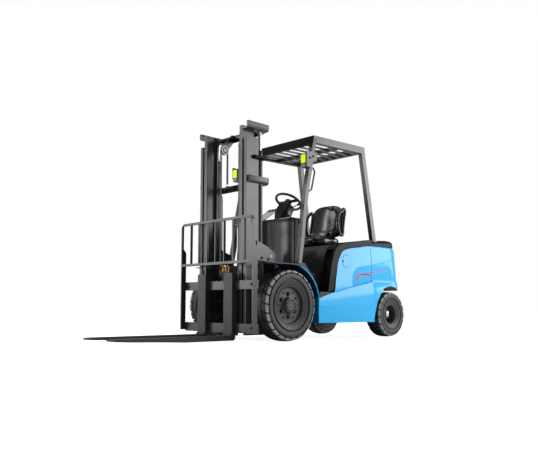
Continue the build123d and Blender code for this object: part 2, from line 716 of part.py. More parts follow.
def fork(x):
    heel_y = bar_front_y - 0.5
    face_y = heel_y - fork_thickness
    tip_y = front_reach
    z0 = fork_floor_gap
    z1 = z0 + fork_thickness
    outline = [
        (heel_y, z0 + 22), (heel_y - 22, z0), (face_y - 560, z0), (tip_y, z0 + 28), (tip_y, z0 + 40),
        (tip_y + 40, z1), (face_y - 22, z1), (face_y, z1 + 22), (face_y, fork_top), (heel_y, fork_top),
    ]
    blade = across(outline, x - fork_width / 2, x + fork_width / 2)
    hook = across([(heel_y, fork_top), (heel_y - 2, fork_top - 60), (heel_y - 2, upper_bar_top + 0.5),
                   (bar_front_y + bar_thickness + 1, upper_bar_top + 0.5),
                   (bar_front_y + bar_thickness + 1, upper_bar_top + 26), (heel_y + 20, fork_top)],
                  x - fork_width / 2, x + fork_width / 2)
    claw = across([(heel_y - 2, lower_bar_bottom - 24), (bar_front_y + bar_thickness, lower_bar_bottom - 24),
                   (bar_front_y + bar_thickness, lower_bar_bottom - 0.5), (heel_y - 2, lower_bar_bottom - 0.5)],
                  x - fork_width / 2, x + fork_width / 2)
    return blade + hook + claw


def tilt_axis():
    return (Vector(0, *tilt_pin) - Vector(0, *tilt_root)).normalized()


def tilt_point(distance):
    point = Vector(tilt_x, *tilt_root) + tilt_axis() * distance
    return (point.X, point.Y, point.Z)


def tilt_barrel():
    barrel = round_between(tilt_point(0), tilt_point(tilt_barrel_length), tilt_barrel_radius)
    barrel -= round_between(tilt_point(50), tilt_point(tilt_barrel_length + 10), tilt_rod_radius + bearing_clearance)
    barrel -= round_x(*tilt_root, 40, tilt_x + 16, tilt_x + 60) + round_x(*tilt_root, 40, tilt_x - 60, tilt_x - 16)
    barrel += round_x(*tilt_root, 30, tilt_x - 16, tilt_x + 16)
    return barrel - round_x(*tilt_root, 14 + bearing_clearance, tilt_x - 60, tilt_x + 60)


def tilt_rod():
    length = (Vector(0, *tilt_pin) - Vector(0, *tilt_root)).length
    rod = round_between(tilt_point(length - 330), tilt_point(length - 10), tilt_rod_radius)
    eye = round_x(*tilt_pin, 32, tilt_x - 16, tilt_x + 16)
    return (rod + eye) - round_x(*tilt_pin, tilt_pin_radius + tilt_eye_play, tilt_x - 60, tilt_x + 60)


def tilt_brackets():
    """The chassis pins that the tilt cylinders hang on."""
    pin = round_x(*tilt_root, 14, frame_half_width - frame_plate, tilt_x + 24)
    return pin, other_side(pin)


def mast_pins():
    pin = round_x(*tilt_pin, tilt_pin_radius, 262, mast_outer_half_width + 11)
    return pin, other_side(pin)


def hood():
    """The battery hood: a hollow cover under the seat, hinged at its rear edge."""
    half = 440
    outline = [
        (632, floor_z + 10), (650, 790), (705, 950), (775, hood_z - 34), (1335, hood_z), (1335, hood_z - 14),
        (782, hood_z - 48), (718, 944), (664, 786), (646, floor_z + 10),
    ]
    knuckle = round_x(hood_hinge_y, hood_hinge_z, hood_hinge_radius, 250, 330)
    return across(outline, -half, half) + knuckle + other_side(knuckle)


def hood_top_at(y):
    return hood_z - 34 + (y - 775) * 34 / 560


def seat():
    cushion = across([
        (830, hood_top_at(830) + wheel_seat_gap), (1262, hood_top_at(1262) + wheel_seat_gap),
        (1262, hood_z + 100), (830, hood_z + 100)], -240, 240)
    base = hood_z + 100 + wheel_seat_gap
    back = across([(1172, base), (1262, base), (1300, 1490), (1240, 1520)], -240, 240)
    return cushion, back


def steering_wheel():
    rim = Torus(steering_wheel_radius - 14, 14)
    spoke = Box(2 * (steering_wheel_radius - 16), 36, 10)
    hub = Cylinder(36, 30)
    whole = rim + spoke + hub
    return Pos(*steering_centre) * Rot(-steering_tilt, 0, 0) * whole


def side_shell(skin_out, skin_in):
    """The leaning wall that the side panel and its flap are cut from."""
    return along([
        (body_half_width - 24 - skin_out, 480), (body_half_width - 60 - skin_out, 1060),
        (body_half_width - 60 - skin_in, 1060), (body_half_width - 24 - skin_in, 480),
    ], 600, 1349)


def charge_flap():
    return side_shell(0, 6) & round_x(*flap_centre, flap_radius, 500, 600)


os.makedirs("parts", exist_ok=True)
for side, label in ((1, "left"), (-1, "right")):
    rubber, rim = front_wheel(side)
    save(f"front_tyre_{label}", rubber)
    save(f"front_rim_{label}", rim)
    rubber, rim = rear_wheel(side)
    save(f"rear_tyre_{label}", rubber)
    save(f"rear_rim_{label}", rim)
    save(f"steer_knuckle_{label}", steer_knuckle(side))
save("drive_axle", drive_axle())
save("steer_axle", steer_axle())
save("steer_rod", steer_rod())
save("chassis_frame", chassis_frame())
save("battery", battery())
save("floor_plate", floor_plate())
panel = fender_panels()
save("fender_panels", panel, other_side(panel))
panel = side_panel()
opening = round_x(*flap_centre, flap_radius + 0.5, 500, 600)
save("side_panels", panel - opening, other_side(panel))
band = trim_band()
save("trim_bands", band, other_side(band))
save("counterweight", counterweight())
save("front_cowl", front_cowl())
save("steering_column", steering_column())
save("control_levers", control_levers())
save("pedals", *pedals())
save("overhead_guard", overhead_guard())
lamps = [head_lamp(side) for side in (1, -1)]
save("head_lamps", *[lamp[0] for lamp in lamps])
save("lamp_lenses", *[lamp[1] for lamp in lamps])
save("tail_lamps", tail_lamp(), other_side(tail_lamp()))
save("tilt_anchor_pins", *tilt_brackets())
save("outer_mast", outer_mast())
save("tilt_mast_pins", *mast_pins())
save("lift_barrels", lift_barrel(), other_side(lift_barrel()))
save("inner_mast", inner_mast())
save("lift_rods", lift_rod(), other_side(lift_rod()))
save("lift_chains", *lift_chains())
save("chain_turns", chain_turn(), other_side(chain_turn()))
save("anchor_chains", *anchor_chains())
save("carriage", carriage())
save("load_backrest", load_backrest())
save("fork_left", fork(fork_left_x))
save("fork_right", fork(fork_right_x))
for label in ("left", "right"):
    barrel, rod = tilt_barrel(), tilt_rod()
    if label == "right":
        barrel, rod = other_side(barrel), other_side(rod)
    save(f"tilt_barrel_{label}", barrel)
    save(f"tilt_rod_{label}", rod)
save("hood", hood())
cushion, back = seat()
save("seat_cushion", cushion)
save("seat_back", back)
save("steering_wheel", steering_wheel())
save("charge_flap", charge_flap())
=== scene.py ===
# An electric counterbalance forklift truck with a two-stage mast, dressed over its CAD model.
# X points to the truck's left, -Y to its front and +Z up.
import math

import bmesh
import bpy
from mathutils import Matrix, Vector


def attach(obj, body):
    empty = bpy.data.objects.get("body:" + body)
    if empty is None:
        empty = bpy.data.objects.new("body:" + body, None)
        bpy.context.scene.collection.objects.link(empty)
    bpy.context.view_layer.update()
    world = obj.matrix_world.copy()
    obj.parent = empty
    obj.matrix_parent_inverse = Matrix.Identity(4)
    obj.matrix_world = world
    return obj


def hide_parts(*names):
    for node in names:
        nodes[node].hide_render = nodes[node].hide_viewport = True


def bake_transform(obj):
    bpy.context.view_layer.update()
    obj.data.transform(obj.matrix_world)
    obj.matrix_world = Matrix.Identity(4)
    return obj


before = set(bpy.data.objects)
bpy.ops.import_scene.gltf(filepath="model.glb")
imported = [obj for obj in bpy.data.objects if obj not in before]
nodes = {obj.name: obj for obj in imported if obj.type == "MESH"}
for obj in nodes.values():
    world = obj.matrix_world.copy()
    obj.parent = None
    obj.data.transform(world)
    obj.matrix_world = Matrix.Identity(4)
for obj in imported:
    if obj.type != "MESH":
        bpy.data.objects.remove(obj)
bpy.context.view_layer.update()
scene = bpy.context.scene
scene.view_settings.view_transform = "Standard"

# Camera: low and to the truck's front left, where the photographer stood.
# The image is 538 by 463 pixels, and the lens and shift are written for its width.
image_width = 538
image_height = 463
focal_pixels = 634.5
principal_x = 244.5
principal_y = 243.6
camera_yaw = math.radians(47.36)
camera_pitch = math.radians(5.67)
camera_roll = math.radians(0.264)
camera_place = Vector((4.841, -4.670, 0.337))

camera = bpy.data.objects.new("camera", bpy.data.cameras.new("camera"))
scene.collection.objects.link(camera)
scene.camera = camera
camera.data.sensor_width = 36
camera.data.lens = focal_pixels / image_width * camera.data.sensor_width
camera.data.shift_x = (image_width / 2 - principal_x) / image_width
camera.data.shift_y = (principal_y - image_height / 2) / image_width
turn = Matrix.Rotation(camera_yaw, 4, "Z") @ Matrix.Rotation(math.pi / 2 + camera_pitch, 4, "X")
camera.matrix_world = Matrix.Translation(camera_place) @ turn @ Matrix.Rotation(camera_roll, 4, "Z")


def srgb(hex_colour):
    """A linear RGBA colour from an sRGB hex value."""
    parts = [int(hex_colour[i:i + 2], 16) / 255 for i in (1, 3, 5)]
    return [p / 12.92 if p <= 0.04045 else ((p + 0.055) / 1.055) ** 2.4 for p in parts] + [1]


def add(tree, kind, links=(), **settings):
    """One node with its settings. A link is (input, another node's output) or (input, a plain value)."""
    made = tree.nodes.new(kind)
    for name, value in settings.items():
        if hasattr(made, name):
            setattr(made, name, value)
        else:
            made.inputs[name.replace("_", " ")].default_value = value
    for socket, source in links:
        if isinstance(source, bpy.types.NodeSocket):
            tree.links.new(source, made.inputs[socket])
        else:
            made.inputs[socket].default_value = source
    return made


def surface(name, colour, roughness, metallic=0.0, coat=0.0, specular=0.5, coat_roughness=0.03):
    """A new material, its tree, its principled shader and its Object coordinates."""
    material = bpy.data.materials.new(name)
    material.use_nodes = True
    tree = material.node_tree
    shader = tree.nodes["Principled BSDF"]
    for socket, value in (("Base Color", srgb(colour)), ("Roughness", roughness), ("Metallic", metallic),
                          ("Coat Weight", coat), ("Specular IOR Level", specular),
                          ("Coat Roughness", coat_roughness)):
        shader.inputs[socket].default_value = value
    place = tree.nodes.new("ShaderNodeTexCoord").outputs["Object"]
    return material, tree, shader, place


# Studio: a plain white floor that runs into a white background, and soft lamps like a photographer's
# boxes. The tall one at the truck's left rear draws the long highlights on the blue panels.
floor_half = 30.0
room_level = 0.26
white = (1, 1, 1, 1)
world = bpy.data.worlds.new("studio")
scene.world = world
world.use_nodes = True
sky = world.node_tree
sky.nodes.clear()
room = add(sky, "ShaderNodeBackground", Strength=room_level, Color=white)
backdrop = add(sky, "ShaderNodeBackground", Strength=1.0, Color=white)
ray = add(sky, "ShaderNodeLightPath")
seen = add(sky, "ShaderNodeMath", [(0, ray.outputs["Is Camera Ray"]),
                                   (1, ray.outputs["Is Transmission Ray"])], operation="MAXIMUM")
choice = add(sky, "ShaderNodeMixShader", [(0, seen.outputs[0]), (1, room.outputs[0]),
                                          (2, backdrop.outputs[0])])
add(sky, "ShaderNodeOutputWorld", [("Surface", choice.outputs[0])])

# Each lamp: name, place, the point it faces, width, height and watts.
lamps = [
    ("rear_left_lamp", (4.4, 5.4, 2.7), (0.4, 0.6, 1.3), 4.6, 3.0, 280),
    ("far_right_lamp", (-6.2, -1.2, 1.7), (0.0, 0.0, 0.9), 1.6, 1.6, 45),
    ("front_lamp", (-0.8, -6.2, 1.7), (0.0, 0.0, 0.9), 1.8, 1.5, 65),
    ("front_right_lamp", (-4.9, -5.4, 1.8), (0.0, 0.0, 1.0), 2.2, 2.8, 95),
    ("seat_lamp", (-4.2, -4.6, 5.0), (0.0, 0.8, 1.3), 1.2, 2.4, 85),
    ("top_lamp", (0.0, 0.0, 5.2), (0.0, 0.0, 0.0), 4.0, 4.0, 100),
]
for name, place, target, width, height, power in lamps:
    light = bpy.data.lights.new(name, "AREA")
    light.shape = "RECTANGLE"
    light.size = width
    light.size_y = height
    light.energy = power
    lamp = bpy.data.objects.new(name, light)
    scene.collection.objects.link(lamp)
    lamp.location = place
    lamp.rotation_euler = (Vector(target) - Vector(place)).to_track_quat("-Z", "Y").to_euler()

# The paper shines at the level of the background, so no horizon shows, and still takes a soft shadow.
paper_glow = 0.88
ground = bpy.data.meshes.new("studio_floor")
corners = [(x * floor_half, y * floor_half, 0) for x, y in ((-1, -1), (1, -1), (1, 1), (-1, 1))]
ground.from_pydata(corners, [], [(0, 1, 2, 3)])
floor = bpy.data.objects.new("studio_floor", ground)
scene.collection.objects.link(floor)
paper, tree, shader, place = surface("studio_paper", "#ffffff", 1.0, specular=0.0)
ray = add(tree, "ShaderNodeLightPath")
glow = add(tree, "ShaderNodeEmission", Strength=paper_glow, Color=white)
both = add(tree, "ShaderNodeAddShader", [(0, shader.outputs[0]), (1, glow.outputs[0])])
lit = add(tree, "ShaderNodeMixShader", [(0, ray.outputs["Is Camera Ray"]), (1, shader.outputs[0]),
                                        (2, both.outputs[0])])
tree.links.new(lit.outputs[0], tree.nodes["Material Output"].inputs["Surface"])
ground.materials.append(paper)

# Chassis: welded steel plates, the steered axle and its knuckles, in dull black enamel sprayed over
# the weld scale, so the sheen breaks up in patches a few centimetres across.
axle_y = -126.0


def point(x, y, z):
    """Frame metres from millimetres, with Y counted from the drive axle."""
    return Vector((x, y + axle_y, z)) / 1000


def finish(material, *names):
    """Gives CAD nodes their material."""
    for name in names:
        for slot in nodes[name].material_slots:
            slot.material = material


def worn_edges(tree, shader, colour, worn, radius, amount):
    """Rounds the shading of edges, rubs their paint through in patches, and returns the rounded normal."""
    rounded = add(tree, "ShaderNodeBevel", samples=4, Radius=radius).outputs[0]
    flat = add(tree, "ShaderNodeNewGeometry").outputs["Normal"]
    facing = add(tree, "ShaderNodeVectorMath", [(0, rounded), (1, flat)], operation="DOT_PRODUCT")
    place = add(tree, "ShaderNodeTexCoord").outputs["Object"]
    patches = add(tree, "ShaderNodeTexNoise", [("Vector", place)], Scale=38.0, Detail=4.0)
    edge = add(tree, "ShaderNodeMapRange", [("Value", facing.outputs["Value"])], From_Min=0.995,
               From_Max=0.93)
    rub = add(tree, "ShaderNodeMath", [(0, edge.outputs[0]), (1, patches.outputs[0])], operation="MULTIPLY")
    rub = add(tree, "ShaderNodeMath", [(0, rub.outputs[0]), (1, amount)], operation="MULTIPLY")
    mixed = add(tree, "ShaderNodeMix", [("Factor", rub.outputs[0])], data_type="RGBA", A=srgb(colour),
                B=srgb(worn))
    tree.links.new(mixed.outputs["Result"], shader.inputs["Base Color"])
    tree.links.new(rounded, shader.inputs["Normal"])
    return rounded


def mottled(tree, shader, place, scale, detail, gloss=None, relief=None, normal=None):
    """A random pattern in the finish. It varies the roughness between the two values of gloss,
    or raises the surface by relief's strength and metres, or does both."""
    pattern = add(tree, "ShaderNodeTexNoise", [("Vector", place)], Scale=scale, Detail=detail).outputs[0]
    if gloss:
        level = add(tree, "ShaderNodeMapRange", [("Value", pattern)], To_Min=gloss[0], To_Max=gloss[1])
        tree.links.new(level.outputs[0], shader.inputs["Roughness"])
    if relief:
        bump = add(tree, "ShaderNodeBump", [("Height", pattern)], Strength=relief[0], Distance=relief[1])
        if normal:
            tree.links.new(normal, bump.inputs["Normal"])
        tree.links.new(bump.outputs[0], shader.inputs["Normal"])


chassis_paint, tree, shader, place = surface("black_chassis_enamel", "#161718", 0.5)
rounded = worn_edges(tree, shader, "#161718", "#5a5b5d", 0.003, 0.7)
mottled(tree, shader, place, 45.0, 3.0, gloss=(0.38, 0.62), relief=(0.15, 0.002), normal=rounded)
finish(chassis_paint, "chassis_frame", "battery", "floor_plate", "steer_axle", "steer_knuckle_left",
       "steer_knuckle_right")

# Drive axle: a cast gear case and motor in black enamel, with machined brake drums at its ends.
# The casting keeps the grit of its sand mould, and the drums' turned faces stay bright.
drum_start = 0.339
axle_paint, tree, shader, place = surface("black_enamel_on_casting", "#1b1c1d", 0.45)
parts = add(tree, "ShaderNodeSeparateXYZ", [(0, place)])
reach = add(tree, "ShaderNodeMath", [(0, parts.outputs["X"])], operation="ABSOLUTE")
drum = add(tree, "ShaderNodeMath", [(0, reach.outputs[0]), (1, drum_start)], operation="GREATER_THAN")
colour = add(tree, "ShaderNodeMix", [("Factor", drum.outputs[0])], data_type="RGBA", A=srgb("#1b1c1d"),
             B=srgb("#b9bcc0"))
tree.links.new(colour.outputs["Result"], shader.inputs["Base Color"])
tree.links.new(drum.outputs[0], shader.inputs["Metallic"])
mottled(tree, shader, place, 180.0, 3.0, relief=(0.25, 0.002))
finish(axle_paint, "drive_axle")

# Bright parts: hard-chromed rods ground smooth, and oiled steel chains and pins.
# Chrome keeps sharp reflections and a trace of the grinding.
chrome, tree, shader, place = surface("hard_chrome", "#c9ccd0", 0.12, metallic=1.0)
mottled(tree, shader, place, 300.0, 2.0, gloss=(0.08, 0.22))
finish(chrome, "lift_rods", "tilt_rod_left", "tilt_rod_right", "steer_rod")
steel, tree, shader, place = surface("oiled_steel", "#77787b", 0.36, metallic=1.0)
mottled(tree, shader, place, 60.0, 4.0, gloss=(0.25, 0.5))
finish(steel, "tilt_anchor_pins", "tilt_mast_pins", "chain_turns", "lift_chains", "anchor_chains")

# Wheels: solid industrial tyres pressed over bolted steel rims.
# The rubber is moulded, with slotted shoulder lugs and stepped rings on its walls.
sides = ((1, "left"), (-1, "right"))
bevel_from = math.radians(28)


def part(name, bm, material, body, edge=0.0, replaced=(), sharp=38, inside=None, is_inside=None):
    """Turns a mesh under construction into a finished piece on its body."""
    bmesh.ops.recalc_face_normals(bm, faces=bm.faces)
    if edge:
        corners = [e for e in bm.edges if len(e.link_faces) == 2 and e.calc_face_angle() > bevel_from]
        bmesh.ops.bevel(bm, geom=corners, offset=edge / 1000, segments=2, profile=0.6, affect="EDGES",
                        clamp_overlap=True)
    if inside:
        for face in bm.faces:
            face.material_index = 1 if is_inside(face.calc_center_median() * 1000, face.normal) else 0
    mesh = bpy.data.meshes.new(name)
    bm.to_mesh(mesh)
    bm.free()
    mesh.materials.append(material)
    if inside:
        mesh.materials.append(inside)
    mesh.shade_smooth()
    mesh.set_sharp_from_angle(angle=math.radians(sharp))
    made = bpy.data.objects.new(name, mesh)
    scene.collection.objects.link(made)
    flat = made.modifiers.new("flat_faces", "WEIGHTED_NORMAL")
    flat.keep_sharp = True
    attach(made, body)
    if replaced:
        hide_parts(*replaced)
    return made


def lathe(bm, profile, origin, direction, facets):
    """Turns a closed profile of (along, radius) millimetres about a line. Radius 0 makes a pole."""
    line = Vector(direction).normalized()
    across = line.orthogonal().normalized()
    third = line.cross(across)
    rings = []
    for along, radius in profile:
        middle = point(*origin) + line * (along / 1000)
        if radius == 0:
            rings.append([bm.verts.new(middle)] * facets)
            continue
        ring = []
        for i in range(facets):
            angle = math.tau * i / facets
            outwards = across * math.cos(angle) + third * math.sin(angle)
            ring.append(bm.verts.new(middle + outwards * (radius / 1000)))
        rings.append(ring)
    for ring, other in zip(rings, rings[1:] + rings[:1]):
        if ring[0] is ring[1] and other[0] is other[1]:
            continue
        for i in range(facets):
            j = (i + 1) % facets
            corners = []
            for corner in (ring[i], ring[j], other[j], other[i]):
                if corner not in corners:
                    corners.append(corner)
            bm.faces.new(corners)


front_wheel = {"x": 486.0, "y": 0.0, "z": 352.0, "half": 109.0, "radius": 352.0, "lugs": 24}
rear_wheel = {"x": 487.0, "y": 1692.0, "z": 257.0, "half": 100.0, "radius": 257.0, "lugs": 18}
front_wall = [(80.7, 190), (84, 193), (90, 206), (93, 212), (97, 222), (101, 232), (103.5, 238), (95, 240),
              (95, 261), (105, 264), (107.5, 270), (108.6, 280), (108.4, 298), (107.5, 303), (105.5, 306),
              (97, 308), (97, 322), (106, 323.5), (101.4, 337.5), (92, 342.5)]
front_crown = [(76, 346), (62, 348.6), (44, 350.6), (42, 344), (30, 344), (28, 351.2), (12, 351.8)]
rear_wall = [(74, 114), (77, 118), (84, 132), (88, 142), (92, 154), (94, 166), (88, 169), (88, 178),
             (96, 181), (99, 192), (99.6, 205), (98.5, 220), (96.5, 225), (89.5, 226.5), (89.5, 231),
             (97, 232.5), (93, 243), (84, 248)]
rear_crown = [(68, 251.5), (54, 254), (38, 255.6), (36, 249), (26, 249), (24, 256.2), (10, 256.8)]
# One lug's pitch: how far along it each row of points stands, and how deep the slot is there.
lug_steps = [(0.0, 1.0), (0.13, 1.0), (0.165, 0.0), (0.30, 0.0), (0.5, 0.0), (0.70, 0.0), (0.85, 0.0),
             (0.965, 0.0)]
# A slot starts at a share of the radius, and ends at a share of the half width from the middle.
slot_depth = 13.0
slot_start = 0.865
slot_start_run = 0.03
slot_end = 0.42
slot_end_run = 0.04
slot_narrowing = 0.08
slant = 0.55
# The painted highlight on the lugs' faces starts here, as a share of the half width, and the painted shade on
# the tread's middle ends here.
lug_face_start = 0.82
tread_middle_end = 0.80
tread_start = 0.9

rubber, tree, shader, place = surface("moulded_rubber", "#1d1d1e", 0.6)
# The tyre's colour holds painted light: a pale painted highlight on the lug faces, and near-black painted
# shade in the slots, the sunk wall rings and the tread's middle.
lug_highlight = add(tree, "ShaderNodeAttribute", attribute_name="lug_highlight")
colour = add(tree, "ShaderNodeMix", [("Factor", lug_highlight.outputs["Fac"])], data_type="RGBA", A=srgb("#363637"),
             B=srgb("#9a9a9b"))
dark = add(tree, "ShaderNodeAttribute", attribute_name="dark")
colour = add(tree, "ShaderNodeMix", [("Factor", dark.outputs["Fac"]), ("A", colour.outputs["Result"])],
             data_type="RGBA", B=srgb("#070708"))
tree.links.new(colour.outputs["Result"], shader.inputs["Base Color"])
mottled(tree, shader, place, 70.0, 5.0, gloss=(0.42, 0.62), relief=(0.12, 0.002))


def tyre(name, wheel, wall, crown, side, body):
    """A solid tyre as rings of points, with slots sunk between its shoulder lugs."""
    section = wall + crown
    section += [(-x, r) for x, r in reversed(section)]
    rows = wheel["lugs"] * len(lug_steps)
    bm = bmesh.new()
    lug_highlight_layer = bm.verts.layers.float.new("lug_highlight")
    dark = bm.verts.layers.float.new("dark")
    sunk = [spot for pair in zip(wall, wall[1:]) if pair[0][0] == pair[1][0] for spot in pair]
    rings = []
    for x, radius in section:
        out = abs(x) / wheel["half"]
        started = min(max((radius / wheel["radius"] - slot_start) / slot_start_run, 0), 1)
        ended = min(max((out - slot_end) / slot_end_run, 0), 1)
        slotted = started * ended
        phase = slant * (1 - out) + (0.0 if x > 0 else 0.5)
        ring = []
        for i in range(rows):
            along, deep = lug_steps[i % len(lug_steps)]
            angle = math.tau * (i // len(lug_steps) + along + phase) / wheel["lugs"]
            depth = deep * slotted * slot_depth * wheel["radius"] / front_wheel["radius"]
            r = radius - depth
            vert = bm.verts.new(point(side * (wheel["x"] + x * (1 - slot_narrowing * depth / slot_depth)),
                                      wheel["y"] + r * math.sin(angle), wheel["z"] + r * math.cos(angle)))
            # Lug faces take the painted highlight; slots, sunk rings and the tread's middle take painted
            # shade.
            vert[lug_highlight_layer] = slotted * (1 - deep) if out > lug_face_start else 0.0
            shaded_middle = out < tread_middle_end and r > wheel["radius"] * tread_start
            vert[dark] = 1.0 if shaded_middle or deep * slotted > 0.5 or (abs(x), radius) in sunk else 0.0
            ring.append(vert)
        rings.append(ring)
    for ring, other in zip(rings, rings[1:] + rings[:1]):
        for i in range(rows):
            bm.faces.new((ring[i], ring[(i + 1) % rows], other[(i + 1) % rows], other[i]))
    return part(name + "_rubber", bm, rubber, body, replaced=(name,), sharp=30)


for side, label in sides:
    tyre(f"front_tyre_{label}", front_wheel, front_wall, front_crown, side, f"front_wheel_{label}")
    tyre(f"rear_tyre_{label}", rear_wheel, rear_wall, rear_crown, side, f"rear_wheel_{label}")

# Rims: pressed steel barrels and discs in dark grey enamel, held by a ring of nuts round a turned hub.
# The enamel has a soft sheen, and the nuts are blackened steel.
rim_paint, tree, shader, place = surface("rim_enamel", "#3c3d3f", 0.42)
rounded = worn_edges(tree, shader, "#3c3d3f", "#8a8b8d", 0.003, 0.5)
mottled(tree, shader, place, 220.0, 2.0, relief=(0.08, 0.001), normal=rounded)
black_steel, tree, shader, place = surface("blackened_steel", "#2a2b2d", 0.34, metallic=0.7)
mottled(tree, shader, place, 90.0, 3.0, gloss=(0.24, 0.46))
# Shares of a hexagon's width across its flats: its corner radius and its washer's radius.
corner_share = 0.577
washer_share = 0.82


def growth(name, places, inputs):
    """An object on some points, its geometry tree, and the tree's named inputs."""
    seeds = bpy.data.meshes.new(name)
    seeds.from_pydata([point(*p) for p in places], [], [])
    seat = bpy.data.objects.new(name, seeds)
    scene.collection.objects.link(seat)
    tree = bpy.data.node_groups.new(name, "GeometryNodeTree")
    for label, kind in [("Points", "Geometry"), *inputs, ("Finish", "Material")]:
        tree.interface.new_socket(label, in_out="INPUT", socket_type="NodeSocket" + kind)
    tree.interface.new_socket("Grown", in_out="OUTPUT", socket_type="NodeSocketGeometry")
    return seat, tree, tree.nodes.new("NodeGroupInput").outputs


def grown(seat, tree, given, shape, **values):
    """Ends the tree, gives its inputs their values, and keeps what it makes as a plain mesh."""
    solid = add(tree, "GeometryNodeRealizeInstances", [("Geometry", shape)])
    painted = add(tree, "GeometryNodeSetMaterial", [("Geometry", solid.outputs[0]),
                                                    ("Material", given["Finish"])])
    add(tree, "NodeGroupOutput", [(0, painted.outputs[0])])
    grow = seat.modifiers.new("grow", "NODES")
    grow.node_group = tree
    for item in tree.interface.items_tree:
        if item.name.replace(" ", "_") in values:
            grow[item.identifier] = values[item.name.replace(" ", "_")]
    mesh = bpy.data.meshes.new_from_object(seat.evaluated_get(bpy.context.evaluated_depsgraph_get()))
    seat.modifiers.clear()
    seat.data = mesh


def fixings(name, places, direction, across_flats, head, material, body):
    """Hexagon heads on round washers, grown by geometry nodes on a set of points."""
    seat, tree, given = growth(name, places, [("Across Flats", "Float"), ("Head Height", "Float")])
    half = add(tree, "ShaderNodeMath", [(0, given["Across Flats"]), (1, corner_share)], operation="MULTIPLY")
    wide = add(tree, "ShaderNodeMath", [(0, given["Across Flats"]), (1, washer_share)], operation="MULTIPLY")
    thin = add(tree, "ShaderNodeMath", [(0, given["Head Height"]), (1, 0.5)], operation="MULTIPLY")
    hexagon = add(tree, "GeometryNodeMeshCylinder", [("Radius", half.outputs[0]),
                                                     ("Depth", given["Head Height"])], Vertices=6)
    washer = add(tree, "GeometryNodeMeshCylinder", [("Radius", wide.outputs[0]), ("Depth", thin.outputs[0])],
                 Vertices=16)
    lift = add(tree, "ShaderNodeCombineXYZ", [("Z", thin.outputs[0])])
    raised = add(tree, "GeometryNodeTransform", [("Geometry", hexagon.outputs["Mesh"]),
                                                 ("Translation", lift.outputs[0])])
    whole = add(tree, "GeometryNodeJoinGeometry", [(0, washer.outputs["Mesh"]), (0, raised.outputs[0])])
    placed = add(tree, "GeometryNodeInstanceOnPoints", [("Points", given["Points"]),
                                                        ("Instance", whole.outputs[0])])
    upright = Vector((0, 0, 1)).rotation_difference(Vector(direction))
    placed.inputs["Rotation"].default_value = upright.to_euler()
    grown(seat, tree, given, placed.outputs[0], Across_Flats=across_flats / 1000, Head_Height=head / 1000,
          Finish=material)
    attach(seat, body)


def ring_of(count, radius, x, wheel, side, start=0.0):
    """Places round a wheel's axle, on the plane at x."""
    turns = [math.tau * (i + start) / count for i in range(count)]
    return [(side * x, wheel["y"] + radius * math.sin(t), wheel["z"] + radius * math.cos(t)) for t in turns]


# Each ring of fixings: its name, wheel, number, circle, distance from the tyre's middle, turn,
# width across flats and head height.
rim_fixings = [
    ("front_nuts", front_wheel, 6, 112, 59, 0.0, 27, 17),
    ("front_studs", front_wheel, 6, 138, 58, 0.5, 11, 6),
    ("front_hub_bolts", front_wheel, 10, 58, 103, 0.0, 10, 6),
    ("rear_nuts", rear_wheel, 5, 80, -7, 0.0, 20, 14),
]
shade_from_radius = 158.0
for side, label in sides:
    bm = bmesh.new()
    lathe(bm, [(-82, 189.7), (82, 189.7), (85, 187), (84, 182), (66, 178), (58, 171), (56, 160), (57, 128),
               (57, 92), (61, 84), (90, 78), (99, 74), (102, 66), (102, 48), (98, 45), (98, 0), (-60, 0),
               (-60, 80), (20, 88), (34, 160), (-30, 178), (-82, 181)],
          (side * front_wheel["x"], 0, front_wheel["z"]), (side, 0, 0), 72)
    # The barrel's inner wall beyond this radius takes the black chassis enamel, as painted shade.
    part(f"front_rim_{label}_pressed", bm, rim_paint, f"front_wheel_{label}",
         replaced=(f"front_rim_{label}",), inside=chassis_paint,
         is_inside=lambda middle, normal: abs(normal.x) < 0.8 and math.hypot(
             middle.y - axle_y, middle.z - front_wheel["z"]) > shade_from_radius)
    finish(rim_paint, f"rear_rim_{label}")
    for name, wheel, count, circle, offset, turned, flats, head in rim_fixings:
        fixings(f"{name}_{label}", ring_of(count, circle, wheel["x"] + offset, wheel, side, turned),
                (side, 0, 0), flats, head, black_steel, f"{name.split('_')[0]}_wheel_{label}")
    bm = bmesh.new()
    lathe(bm, [(26, 0), (26, 36), (38, 34), (44, 26), (46, 0)],
          (side * rear_wheel["x"], rear_wheel["y"], rear_wheel["z"]), (side, 0, 0), 32)
    part(f"rear_hub_cap_{label}", bm, chrome, f"rear_wheel_{label}")

# Blue bodywork: pressed side panels, folded skirts and wheel-arch bands, and the cast counterweight.
# All have sky-blue two-pack enamel under a clear coat, glossy, with a faint orange peel.
band_rear_y = 0.265
band_face_x = 0.597
blue_paint, tree, shader, place = surface("blue_enamel", "#20b0f8", 0.42, coat=0.4, specular=0.2,
                                          coat_roughness=0.06)
parts = add(tree, "ShaderNodeSeparateXYZ", [(0, place)])
cloud = add(tree, "ShaderNodeTexNoise", [("Vector", place)], Scale=2.2, Detail=1.0)
colour = add(tree, "ShaderNodeMix", [("Factor", cloud.outputs[0])], data_type="RGBA", A=srgb("#17b5f8"),
             B=srgb("#20beff"))
